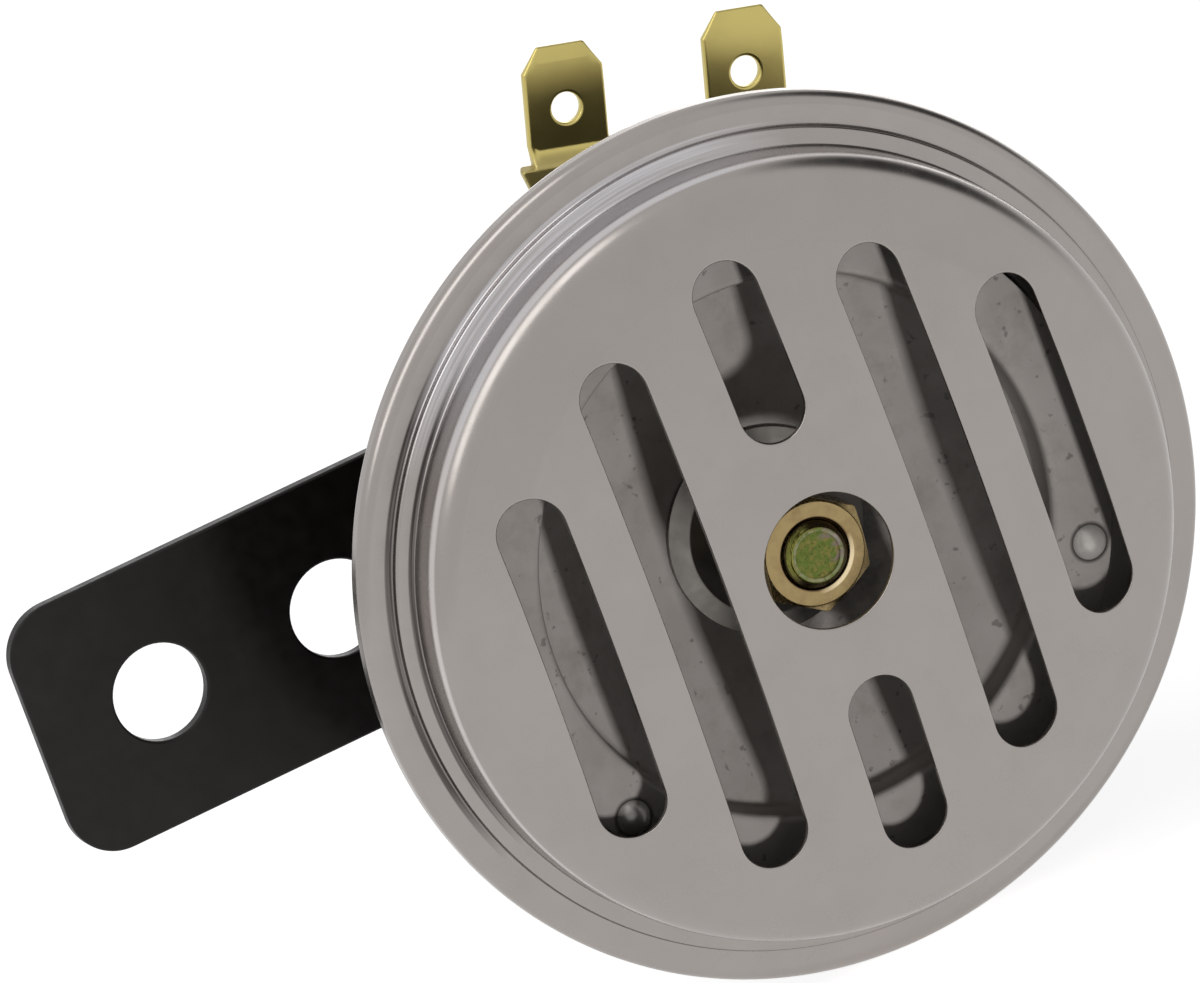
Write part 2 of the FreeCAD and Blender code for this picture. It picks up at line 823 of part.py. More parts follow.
def terminal(side):
    y0, y1 = terminal_base_y - past, blade_y + terminal_sheet + past
    shape = terminal_blank().common(terminal_outline())
    hole = drum(blade_hole_radius, y0, y1, 0, blade_hole_distance)
    shank_radius = terminal_rivet_radius + thread_clearance
    rivet_hole = drum(shank_radius, y0, y1, 0, terminal_rivet_distance)
    shape = shape.cut([hole, rivet_hole]).removeSplitter()
    shape.translate(V(side * terminal_spacing / 2, 0, side * terminal_stagger))
    return terminal_turn(shape)


def terminal_insulator():
    """Fibre plate under both terminals, with a collar through each hole of the housing."""
    y0, y1 = shoulder_depth, terminal_base_y
    half = insulator_plate_half_length
    corner = insulator_plate_corner
    outline = rounded_outline([
        (-half, insulator_plate_inner, corner), (half, insulator_plate_inner, corner),
        (half, insulator_plate_outer, corner), (-half, insulator_plate_outer, corner),
    ])
    whole = terminal_turn(plate(outline, y0, y1))
    places = terminal_places(terminal_rivet_distance)
    collar = terminal_hole_radius - thread_clearance
    whole = whole.fuse([drum(collar, shoulder_inner_y, y0, x, z) for x, z in places])
    shank = terminal_rivet_radius + thread_clearance
    whole = whole.cut([bore(shank, shoulder_inner_y, y1, x, z) for x, z in places])
    return whole.removeSplitter()


def inner_terminal_washers():
    y0 = shoulder_inner_y - insulator_plate_thickness
    return [ring(terminal_rivet_radius + thread_clearance, inner_washer_radius, y0,
                 shoulder_inner_y, x, z) for x, z in terminal_places(terminal_rivet_distance)]


def terminal_rivets():
    front = shoulder_inner_y - insulator_plate_thickness
    back = terminal_base_y + terminal_sheet
    head, height = terminal_rivet_head_radius, terminal_rivet_head_height
    return [rivet(x, z, terminal_rivet_radius, front, back, head, height, height)
            for x, z in terminal_places(terminal_rivet_distance)]


def lead_wires():
    """Three leads: coil to left terminal, coil to leaf, fixed arm to right terminal."""
    reach = lead_radius + lead_solder_gap
    head_y = shoulder_inner_y - insulator_plate_thickness - terminal_rivet_head_height
    level = head_y - reach
    leaf_level = leaf_back_y + reach
    lug_level = fixed_arm_y - reach
    start = shoulder_inner_y + bobbin_flange_thickness
    hole_x, hole_z = on_circle(lead_hole_circle, 90 - terminal_angle)
    split = lead_hole_radius / 2
    left, right = terminal_places(terminal_rivet_distance)
    coil_to_terminal = [V(hole_x - split, start, hole_z), V(hole_x - split, level, hole_z),
                        V(left[0], level, left[1])]
    coil_to_leaf = [V(hole_x + split, start, hole_z), V(hole_x + split, leaf_level, hole_z),
                    V(stack_inner_x - lead_radius, leaf_level, lead_tab_z)]
    arm_to_terminal = [V(adjusting_x, lug_level, adjusting_z),
                       V(lug_lead_x, lug_level, lug_lead_z), V(lug_lead_x, level, lug_lead_z),
                       V(right[0], level, right[1])]
    return [wire_lead(coil_to_terminal), wire_lead(coil_to_leaf), wire_lead(arm_to_terminal)]


def mounting_bracket():
    """Flat strap: square end with rounded corners, two free holes, round end on the stud."""
    y0, y1 = housing_depth, bracket_back_y
    half = bracket_width / 2
    end_x = -(bracket_first_hole + bracket_hole_pitch + bracket_end_margin)
    outline = rounded_outline([(end_x, -half, bracket_corner), (0, -half, 0), (0, half, 0),
                               (end_x, half, bracket_corner)])
    strap = plate(outline, y0, y1).fuse(drum(half, y0, y1))
    holes = [bore(bracket_hole_radius, y0, y1, -bracket_first_hole - step)
             for step in (0, bracket_hole_pitch)]
    holes.append(bore(rear_stud_radius + hole_clearance, y0, y1))
    return strap.cut(holes).removeSplitter()


def rear_washer():
    return split_ring(rear_stud_radius + hole_clearance, rear_washer_radius, bracket_back_y,
                      rear_washer_thickness, rear_washer_gap)


def rear_nut():
    return hexagon_nut(rear_nut_width, rear_nut_height, rear_nut_chamfer_radius,
                       rear_stud_radius + thread_clearance, rear_nut_y)


def save(name, shape):
    """Writes a piece, or a group of separate pieces, in the part's own frame."""
    pieces = shape if isinstance(shape, list) else [shape]
    solids = [solid for piece in pieces for solid in piece.Solids]
    whole = solids[0] if len(solids) == 1 else Part.makeCompound(solids)
    whole.translate(V(-origin_x, -bracket_back_y, 0))
    whole.exportStep(os.path.join("parts", name + ".step"))
    print(name, len(solids), round(whole.Volume, 2), whole.isValid())


os.makedirs("parts", exist_ok=True)

save("front_cover", front_cover())
save("front_gasket", rim_gasket(front_gasket_y))
save("diaphragm", diaphragm())
save("rear_gasket", rim_gasket(rear_gasket_y))
save("rear_housing", rear_housing())

save("tone_disc", tone_disc())
save("damping_ring", damping_ring())
save("tone_disc_rivets", tone_disc_rivets())
save("flat_washer", flat_washer())
save("spring_washer", spring_washer())
save("clamp_nut", stud_nut(clamp_nut_y))
save("lock_nut", stud_nut(lock_nut_y).rotated(V(0, 0, 0), axis_y, lock_nut_turn))
save("hub_spacer", hub_spacer())
save("armature", armature())
save("contact_pusher", contact_pusher())

save("pole_core", pole_core())
save("coil_bobbin", coil_bobbin())
save("coil_winding", coil_winding())
save("yoke_plate", yoke_plate())
save("yoke_rivets", yoke_rivets())

save("contact_insulator_base", contact_insulator(leaf_back_y, insulator_width))
save("moving_contact_arm", moving_contact_arm())
save("contact_insulator_middle", contact_insulator(fixed_arm_back_y, insulator_width))
save("fixed_contact_arm", fixed_contact_arm())
save("contact_insulator_top", contact_insulator(top_insulator_y, fixed_arm_width))
save("contact_rivets", contact_rivets())
save("adjusting_screw", adjusting_screw())
save("adjusting_nut", adjusting_nut())

save("terminal_left", terminal(-1))
save("terminal_right", terminal(1))
save("terminal_insulator", terminal_insulator())
save("inner_terminal_washers", inner_terminal_washers())
save("terminal_rivets", terminal_rivets())
save("lead_wires", lead_wires())

save("mounting_bracket", mounting_bracket())
save("rear_washer", rear_washer())
save("rear_nut", rear_nut())
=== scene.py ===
import bmesh
import bpy
import json
import math
from mathutils import Matrix, Vector
from mathutils.geometry import delaunay_2d_cdt


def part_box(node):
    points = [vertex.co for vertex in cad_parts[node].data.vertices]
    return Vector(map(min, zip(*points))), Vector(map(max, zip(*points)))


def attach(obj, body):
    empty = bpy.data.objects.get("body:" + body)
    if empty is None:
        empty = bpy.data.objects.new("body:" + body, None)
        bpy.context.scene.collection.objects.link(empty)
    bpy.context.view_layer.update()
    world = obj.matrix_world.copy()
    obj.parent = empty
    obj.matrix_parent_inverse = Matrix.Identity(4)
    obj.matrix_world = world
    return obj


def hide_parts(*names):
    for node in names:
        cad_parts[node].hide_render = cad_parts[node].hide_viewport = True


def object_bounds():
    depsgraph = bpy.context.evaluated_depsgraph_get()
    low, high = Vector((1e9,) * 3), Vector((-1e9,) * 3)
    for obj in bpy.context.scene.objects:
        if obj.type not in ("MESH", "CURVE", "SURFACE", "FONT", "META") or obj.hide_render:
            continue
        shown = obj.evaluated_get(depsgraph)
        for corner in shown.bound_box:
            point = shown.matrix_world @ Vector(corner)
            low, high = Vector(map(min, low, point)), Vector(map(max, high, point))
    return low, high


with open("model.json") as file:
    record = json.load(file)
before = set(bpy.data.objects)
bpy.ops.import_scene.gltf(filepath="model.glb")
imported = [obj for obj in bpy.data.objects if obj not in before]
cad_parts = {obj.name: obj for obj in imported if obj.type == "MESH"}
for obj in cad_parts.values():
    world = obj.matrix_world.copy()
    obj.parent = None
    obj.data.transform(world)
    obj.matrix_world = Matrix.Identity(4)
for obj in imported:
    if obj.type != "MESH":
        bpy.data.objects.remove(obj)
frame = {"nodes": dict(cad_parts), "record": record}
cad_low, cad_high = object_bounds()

# Pieces are drawn in millimetres on the horn's own axes: X to the right, Y from the rim's
# front face to the back, Z up along the slots. They are placed from the cover's CAD box.
MM = 0.001
RIM_THICKNESS = 2.45
cover_low, cover_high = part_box("front_cover")
HORN_X = (cover_low.x + cover_high.x) / 2 / MM
HORN_Y = cover_high.y / MM - RIM_THICKNESS

# Cover
COVER_SHEET = 0.5
DOME_RADIUS = 143.0
FACE_HEIGHT = 8.74
FACE_EDGE = 23.3
FACE_END = 25.8
SHOULDER_SLOPE = math.tan(math.radians(15.0))
WALL_RADIUS, WALL_END = 29.2, -0.95
STEP_RADIUS, STEP_FACE = 30.55, -0.75
RIM_RADIUS, CRIMP_RADIUS = 33.0, 30.2
CREASE_SOFT = 0.2
FACE_HOLE = 5.04
SLOT_HALF = 2.58
SLOTS = [(0.0, 12.24, 21.03), (0.0, -21.03, -12.24)]
SLOTS += [(side * x, -z, z) for side in (-1, 1) for x, z in ((10.58, 17.66), (19.76, 10.95))]
EDGE_ROLL = 0.16
COVER_SEGMENTS = 240

# Tone disc
DISC_SHEET = 0.5
DISC_PATH = [(2.6, 4.0, 0), (8.4, 4.0, 3.0), (19.8, 0.0, 0.8), (20.1, -2.6, 0.6), (24.9, -2.6, 0)]
DISC_RIVET_CIRCLE = 23.1
DISC_RIVET_ANGLES = (95.6, 215.6, 335.6)
RIVET_SEGMENTS = 40

# Stud, plunger and the nuts on the stud
STUD_RADIUS, STUD_PITCH = 2.5, 0.8
STUD_ROOT, STUD_TIP = 3.6, -6.5
COLLAR_RADIUS, COLLAR_FRONT, COLLAR_BACK = 9.5, 6.65, 8.15
PLUNGER_RADIUS, PLUNGER_BACK = 7.4, 16.4
LOCK_NUT_FRONT, CLAMP_NUT_FRONT = -6.0, -2.0

# Terminals, along and across their own direction
TERMINAL_ANGLE = math.radians(15.5)
TERMINAL_ACROSS, TERMINAL_STAGGER = 7.125, 0.25
TERMINAL_SHEET = 0.8
RIVET_ALONG, RIVET_HOLE = 20.0, 1.43
BASE_Y, BASE_RADIUS = 17.2, 3.2
SHOULDER_ALONG, BLADE_START = 26.6, 27.5
JOGGLE, JOGGLE_SOFT, JOGGLE_OFFSET = 0.9, 0.25, 1.0
BLADE_HALF, BLADE_TIP = 3.15, 35.27
BLADE_HOLE_ALONG, BLADE_HOLE = 30.53, 1.15
TIP_ALONG, TIP_ACROSS = 1.9, 1.3
BEVEL_LENGTH, BEVEL_DEPTH = 1.2, 0.22
BEVEL_START, BEVEL_SLOPE = BLADE_TIP - BEVEL_LENGTH, BEVEL_DEPTH / BEVEL_LENGTH
CROWN_START, CROWN_SLOPE = 31.2, 0.115
CROWN_RUN = BEVEL_START - CROWN_START

# Bracket, core and adjusting screw
HOUSING_BACK = 29.2
BRACKET_SHEET, BRACKET_HALF, BRACKET_END = 1.2, 10.0, -50.3
BRACKET_HOLES, BRACKET_HOLE = (-25.4, -40.3), 3.7
BRACKET_STUD_HOLE = 3.1
CORE_RADIUS, CORE_FRONT, CORE_BACK = 7.6, 17.1, 28.4
REAR_STUD_RADIUS, REAR_STUD_PITCH = 3.0, 1.0
REAR_STUD_ROOT, REAR_STUD_TIP = 31.0, 38.6
REAR_NUT_FRONT = 31.8
ADJUSTING_PLACE = (16.8, 9.4)


def place(x, y, z):
    return Vector((HORN_X + x, HORN_Y + y, z)) * MM


def direction(angle):
    return math.cos(angle), math.sin(angle)


def on_circle(radius, degrees):
    c, s = direction(math.radians(degrees))
    return radius * c, radius * s


def disc_rivet_places():
    return [on_circle(DISC_RIVET_CIRCLE, angle) for angle in DISC_RIVET_ANGLES]


# Profiles and outlines

def unit(x, y):
    length = math.hypot(x, y)
    return x / length, y / length


def profile(path, step=0.12):
    """Points (radius, y, normal) along a path of (radius, y, corner radius), normal to its right."""
    out = []
    last = len(path) - 1
    for i, (x, y, radius) in enumerate(path):
        before, after = path[max(i - 1, 0)], path[min(i + 1, last)]
        d1 = unit(x - before[0], y - before[1]) if i > 0 else None
        d2 = unit(after[0] - x, after[1] - y) if i < last else d1
        d1 = d1 or d2
        turn = math.atan2(d1[0] * d2[1] - d1[1] * d2[0], d1[0] * d2[0] + d1[1] * d2[1])
        if radius == 0:
            for dx, dy in ((d1,) if abs(turn) < 0.01 else (d1, d2)):
                out.append((x, y, dy, -dx))
            continue
        reach = radius * math.tan(abs(turn) / 2)
        side = math.copysign(1, turn)
        sx, sy = x - d1[0] * reach, y - d1[1] * reach
        cx, cy = sx - d1[1] * side * radius, sy + d1[0] * side * radius
        count = max(3, min(24, round(abs(turn) * radius / step)))
        for k in range(count + 1):
            c, s = direction(turn * k / count)
            nx, ny = d1[1] * c + d1[0] * s, -d1[0] * c + d1[1] * s
            out.append((cx + nx * side * radius, cy + ny * side * radius, nx, ny))
    return out


def sheet_profile(path, sheet, end_round):
    """Closed section of a sheet whose front face is the path, with the metal on its left."""
    back = []
    for i, (x, y, radius) in enumerate(path):
        d1 = unit(x - path[i - 1][0], y - path[i - 1][1]) if i > 0 else None
        d2 = unit(path[i + 1][0] - x, path[i + 1][1] - y) if i < len(path) - 1 else d1
        d1 = d1 or d2
        nx, ny = -d1[1] - d2[1], d1[0] + d2[0]
        scale = sheet * 2 / (nx * nx + ny * ny)
        turn = d1[0] * d2[1] - d1[1] * d2[0]
        moved = radius - sheet * math.copysign(1, turn) if radius else end_round
        back.append((x + nx * scale, y + ny * scale, max(moved, 0.05)))
    first, last = path[0], path[-1]
    front = [(first[0], first[1], end_round)] + path[1:-1] + [(last[0], last[1], end_round)]
    x, y = (first[0] + back[0][0]) / 2, (first[1] + back[0][1]) / 2
    return profile([(x, y, 0)] + front + back[::-1] + [(x, y, 0)])


def circle(x, z, radius, count):
    """An opening's edge: a function of how far it moves into the metal."""
    def edge(offset):
        out = []
        for k in range(count):
            c, s = direction(2 * math.pi * k / count)
            out.append((x + (radius + offset) * c, z + (radius + offset) * s, c, s))
        return out
    return edge


def obround(x, low, high, half, ends=24, step=1.0):
    def edge(offset):
        r = half + offset
        out = []
        for centre, other, first in ((high, low, 0.0), (low, high, math.pi)):
            for k in range(ends + 1):
                c, s = direction(first + math.pi * k / ends)
                out.append((x + r * c, centre + r * s, c, s))
            side = math.cos(first + math.pi)
            runs = max(2, round(abs(high - low) / step))
            for k in range(1, runs):
                out.append((x + r * side, centre + (other - centre) * k / runs, side, 0.0))
        return out
    return edge


def outline(corners, step=0.15, run=1.2):
    """A plate's outer edge, anticlockwise, from (x, z, corner radius): moves into the metal."""
    def edge(offset):
        out = []
        count = len(corners)
        starts = []
        for i, (x, z, radius) in enumerate(corners):
            px, pz, _ = corners[i - 1]
            qx, qz, _ = corners[(i + 1) % count]
            d1, d2 = unit(x - px, z - pz), unit(qx - x, qz - z)
            turn = math.atan2(d1[0] * d2[1] - d1[1] * d2[0], d1[0] * d2[0] + d1[1] * d2[1])
            reach = radius * math.tan(abs(turn) / 2)
            side = math.copysign(1, turn)
            cx = x - d1[0] * reach - d1[1] * side * radius
            cz = z - d1[1] * reach + d1[0] * side * radius
            steps = max(2, round(abs(turn) * radius / step))
            arc = []
            for k in range(steps + 1):
                c, s = direction(turn * k / steps)
                nx, nz = d1[1] * c + d1[0] * s, -d1[0] * c + d1[1] * s
                x1, z1 = cx + nx * side * radius, cz + nz * side * radius
                arc.append((x1 - nx * offset, z1 - nz * offset, -nx, -nz))
            starts.append(arc)
        for i, arc in enumerate(starts):
            out += arc
            a, b = arc[-1], starts[(i + 1) % count][0]
            length = math.hypot(b[0] - a[0], b[1] - a[1])
            runs = max(1, round(length / run))
            for k in range(1, runs):
                t = k / runs
                out.append((a[0] + (b[0] - a[0]) * t, a[1] + (b[1] - a[1]) * t, a[2], a[3]))
        return out
    return edge


def inside(loop, x, z):
    hit = False
    for (ax, az, *_), (bx, bz, *_) in zip(loop, loop[1:] + loop[:1]):
        if (az > z) != (bz > z) and x < (bx - ax) * (z - az) / (bz - az) + ax:
            hit = not hit
    return hit


def boxed(loop):
    """The limits of a loop, and the loop."""
    xs, zs = [p[0] for p in loop], [p[1] for p in loop]
    return min(xs), max(xs), min(zs), max(zs), loop


def in_any(boxed_loops, x, z):
    return any(left <= x <= right and low <= z <= high and inside(loop, x, z)
               for left, right, low, high, loop in boxed_loops)


# Pieces

THIN_EDGE = 0.45    # most that an edge's round may take of the sheet, from each face
ROW_HEIGHT = 0.866    # of the pitch, which makes the triangles in a sheet nearly equal-sided


class Skin:
    """Collects vertices with their own normals, and faces, for one piece."""

    def __init__(self):
        self.points, self.normals, self.faces = [], [], []

    def add(self, point, normal):
        self.points.append(point)
        self.normals.append(normal)
        return len(self.points) - 1

    def revolve(self, points, segments, x=0.0, z=0.0):
        """Spins a profile round an axis along Y."""
        rings = []
        for radius, y, nr, ny in points:
            ring = []
            for k in range(segments):
                c, s = direction(2 * math.pi * k / segments)
                ring.append(self.add((x + radius * c, y, z + radius * s), (nr * c, ny, nr * s)))
            rings.append(ring)
        self.bridge(rings)

    def bridge(self, rings):
        for one, two in zip(rings, rings[1:]):
            count = len(one)
            for k in range(count):
                n = (k + 1) % count
                self.faces.append((one[k], one[n], two[n], two[k]))

    def sheet(self, outer, holes, surface, roll, pitch, extra=(), cut=True):
        """Stamped sheet metal: both faces of a flat pattern, with rolled edges round it.

        The surface maps a place in the pattern to its front and back point and normal. The pattern
        is filled with points at a pitch, besides the extra ones. An outer edge that isn't cut is
        left open, for another surface to join.
        """
        loops = [edge(roll) for edge in [outer] + holes]
        openings = [boxed(loop) for loop in loops[1:]]
        guard = [edge(roll + pitch * 0.35) for edge in [outer] + holes]
        rim, gaps = guard[0], [boxed(loop) for loop in guard[1:]]
        points, links = [], []
        for loop in loops:
            start, count = len(points), len(loop)
            points += [Vector((p[0], p[1])) for p in loop]
            links += [(start + k, start + (k + 1) % count) for k in range(count)]
        left, right, low, high, _ = boxed(rim)
        spots = list(extra)
        for row in range(int((high - low) / (pitch * ROW_HEIGHT)) + 1):
            for column in range(int((right - left) / pitch) + 1):
                spots.append((left + (column + row % 2 / 2) * pitch, low + row * pitch * ROW_HEIGHT))
        points += [Vector((x, z)) for x, z in spots if inside(rim, x, z) and not in_any(gaps, x, z)]
        flat, _, triangles, *_ = delaunay_2d_cdt(points, links, [], 0, 1e-6)
        front, back = [], []
        for p in flat:
            a, na, b, nb = surface(p.x, p.y)
            front.append(self.add(a, na))
            back.append(self.add(b, nb))
        for t in triangles:
            x, z = sum(flat[i].x for i in t) / 3, sum(flat[i].y for i in t) / 3
            if inside(loops[0], x, z) and not in_any(openings, x, z):
                self.faces.append(tuple(front[i] for i in t))
                self.faces.append(tuple(back[i] for i in t))
        for edge in ([outer] if cut else []) + holes:
            self.rolled(edge, surface, roll)

    def rolled(self, edge, surface, roll, steps=5, probe=0.01):
        """A quarter round from each face to the cut edge between them, flatter where it is thin."""
        rings = []
        for face, order in ((0, range(steps + 1)), (2, range(steps, -1, -1))):
            for k in order:
                away, along = math.sin(math.pi / 2 * k / steps), math.cos(math.pi / 2 * k / steps)
                ring = []
                for x, z, dx, dz in edge(roll * (1 - away)):
                    found = surface(x, z)
                    p, n = Vector(found[face]), Vector(found[face + 1])
                    ahead = Vector(surface(x - dx * probe, z - dz * probe)[face]) - p
                    out = (ahead - n * ahead.dot(n)).normalized()
                    depth = min(roll, THIN_EDGE * (Vector(found[0]) - Vector(found[2])).length)
                    ring.append(self.add(p - n * depth * (1 - along), n * along + out * away))
                rings.append(ring)
        self.bridge(rings)

    def build(self, name, paint, body, node):
        """Makes the piece, which rides on a body and stands in for one CAD node."""
        mesh = bpy.data.meshes.new(name)
        mesh.from_pydata([place(*p) for p in self.points], [], self.faces)
        mesh.validate()
        face_out(mesh, self.normals)
        mesh.normals_split_custom_set_from_vertices([Vector(n).normalized() for n in self.normals])
        piece = bpy.data.objects.new(name, mesh)
        bpy.context.scene.collection.objects.link(piece)
        mesh.materials.append(paint.material)
        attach(piece, body)
        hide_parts(node)


def face_out(mesh, normals):
    """Turns each face to the side that its vertices' normals point to."""
    bm = bmesh.new()
    bm.from_mesh(mesh)
    bm.faces.ensure_lookup_table()
    bm.normal_update()
    turned = [f for f in bm.faces
              if f.normal.dot(sum((Vector(normals[v.index]) for v in f.verts), Vector())) < 0]
    bmesh.ops.reverse_faces(bm, faces=turned)
    for f in bm.faces:
        f.smooth = True
    bm.to_mesh(mesh)
    bm.free()


SLOT_OF = {s["node"]: s["material_slot"] for s in frame["record"]["subparts"]}


# Materials

MIX_A, MIX_B, MIX_RESULT = 6, 7, 2    # the Mix node's sockets for colours


class Nodes:
    """Short ways to add and join nodes in one tree."""

    def __init__(self, tree):
        self.tree = tree

    def node(self, kind, **values):
        made = self.tree.nodes.new(kind)
        for key, value in values.items():
            if key in made.inputs:
                made.inputs[key].default_value = value
            else:
                setattr(made, key, value)
        return made

    def link(self, out, into):
        self.tree.links.new(out, into)

    def maths(self, operation, a, b=None):
        made = self.node("ShaderNodeMath", operation=operation)
        for socket, value in enumerate((a, b)):
            if isinstance(value, (int, float)):
                made.inputs[socket].default_value = value
            elif value is not None:
                self.link(value, made.inputs[socket])
        return made.outputs[0]

    def times(self, product, *factors):
        for factor in factors:
            product = self.maths("MULTIPLY", product, factor)
        return product

    def spread(self, value, low, high, to_low=0.0, to_high=1.0):
        """Maps a range of a value to another range, and holds it at the ends."""
        ends = {"From Min": low, "From Max": high, "To Min": to_low, "To Max": to_high}
        made = self.node("ShaderNodeMapRange", **ends)
        self.link(value, made.inputs["Value"])
        return made.outputs["Result"]


class Paint(Nodes):
    """A Principled material and short ways to add procedural detail to it."""

    def __init__(self, name, colour, roughness, metallic, specular):
        self.material = bpy.data.materials.new(name)
        self.material.use_nodes = True
        super().__init__(self.material.node_tree)
        self.shader = self.tree.nodes["Principled BSDF"]
        self.colour = colour
        self.normal = None
        looks = {"Base Color": (*colour, 1), "Roughness": roughness, "Metallic": metallic,
                 "Specular IOR Level": specular}
        for key, value in looks.items():
            self.shader.inputs[key].default_value = value

    def noise(self, size_mm, detail=4.0, roughness=0.55):
        source = self.node("ShaderNodeTexCoord")
        made = self.node("ShaderNodeTexNoise", Scale=1 / (size_mm * MM), Detail=detail,
                         Roughness=roughness)
        self.link(source.outputs["Object"], made.inputs["Vector"])
        return made.outputs["Fac"]

    def axes(self):
        """Place on the horn's own axes, in mm."""
        source = self.node("ShaderNodeTexCoord")
        parts = self.node("ShaderNodeSeparateXYZ")
        self.link(source.outputs["Object"], parts.inputs[0])
        x = self.maths("SUBTRACT", self.maths("DIVIDE", parts.outputs[0], MM), HORN_X)
        y = self.maths("SUBTRACT", self.maths("DIVIDE", parts.outputs[1], MM), HORN_Y)
        return x, y, self.maths("DIVIDE", parts.outputs[2], MM)

    def distance(self, x, z, x0=0.0, z0=0.0):
        dx, dz = self.maths("SUBTRACT", x, x0), self.maths("SUBTRACT", z, z0)
        return self.maths("SQRT", self.maths("ADD", self.times(dx, dx), self.times(dz, dz)))

    def polar(self, *angles):
        """Distance from the horn's axis in mm, angle round it in turns, and depth in mm.

        Each further result is the cosine of the angle round the axis to a given direction.
        """
        x, y, z = self.axes()
        turn = self.maths("DIVIDE", self.maths("ARCTAN2", z, x), 2 * math.pi)
        radius = self.distance(x, z)
        facing = []
        for angle in angles:
            c, s = direction(math.radians(angle))
            part = self.maths("ADD", self.times(x, c), self.times(z, s))
            facing.append(self.maths("DIVIDE", part, radius))
        return radius, turn, y, *facing

    def band(self, value, low, high, soft):
        """1 between two values, falling to 0 over a soft distance outside them."""
        return self.times(self.spread(value, low - soft, low),
                          self.spread(value, high, high + soft, 1.0, 0.0))

    def streaks(self, radius, turn, across=5.0, along=14.0):
        """Fine spun lines round the axis, broken along their length."""
        at = self.node("ShaderNodeCombineXYZ")
        self.link(self.times(radius, across), at.inputs[0])
        self.link(self.times(turn, along), at.inputs[1])
        made = self.node("ShaderNodeTexNoise", Scale=1.0, Detail=5.0)
        self.link(at.outputs[0], made.inputs["Vector"])
        return made.outputs["Fac"]

    def tint(self, factor, colour):
        """Mixes another colour over what the base colour has so far."""
        mix = self.node("ShaderNodeMix", data_type="RGBA")
        base = self.shader.inputs["Base Color"]
        if base.is_linked:
            self.link(base.links[0].from_socket, mix.inputs[MIX_A])
        else:
            mix.inputs[MIX_A].default_value = (*self.colour, 1)
        mix.inputs[MIX_B].default_value = (*colour, 1)
        self.link(factor, mix.inputs[0])
        self.link(mix.outputs[MIX_RESULT], base)

    def rough(self, value):
        self.link(value, self.shader.inputs["Roughness"])

    def bump(self, value, depth_mm):
        made = self.node("ShaderNodeBump", Distance=depth_mm * MM)
        self.link(value, made.inputs["Height"])
        if self.normal:
            self.link(self.normal, made.inputs["Normal"])
        self.shade(made.outputs["Normal"])

    def round_edges(self, radius_mm):
        """Rounds the sharp edges of a CAD mesh in its shading."""
        self.shade(self.node("ShaderNodeBevel", Radius=radius_mm * MM, samples=6).outputs["Normal"])

    def shade(self, normal):
        self.normal = normal
        self.link(normal, self.shader.inputs["Normal"])


STAIN_RANGE, STAIN_MOST = (0.42, 0.72), 0.55
GLOSS_RANGE, GLOSS_CHANGE, GLOSS_BLOTCH = (0.3, 0.75), (0.8, 1.25), 0.4


def coat(name, colour, roughness, stain, grain=0.35, blotch=6.0, edge=0.0, metallic=1.0,
         relief=0.003, specular=0.5):
    """A plain surface with a fine grain and soft blotches in its gloss, stained in places.

    Sizes are in mm: of the grain and its relief, of the blotches and of rounded edges.
    """
    paint = Paint(name, colour, roughness, metallic, specular)
    if edge:
        paint.round_edges(edge)
    paint.tint(paint.spread(paint.noise(blotch, 5.0), *STAIN_RANGE, to_high=STAIN_MOST), stain)
    least, most = (roughness * change for change in GLOSS_CHANGE)
    paint.rough(paint.spread(paint.noise(blotch * GLOSS_BLOTCH, 6.0), *GLOSS_RANGE, least, most))
    paint.bump(paint.noise(grain, 3.0), relief)
    return paint


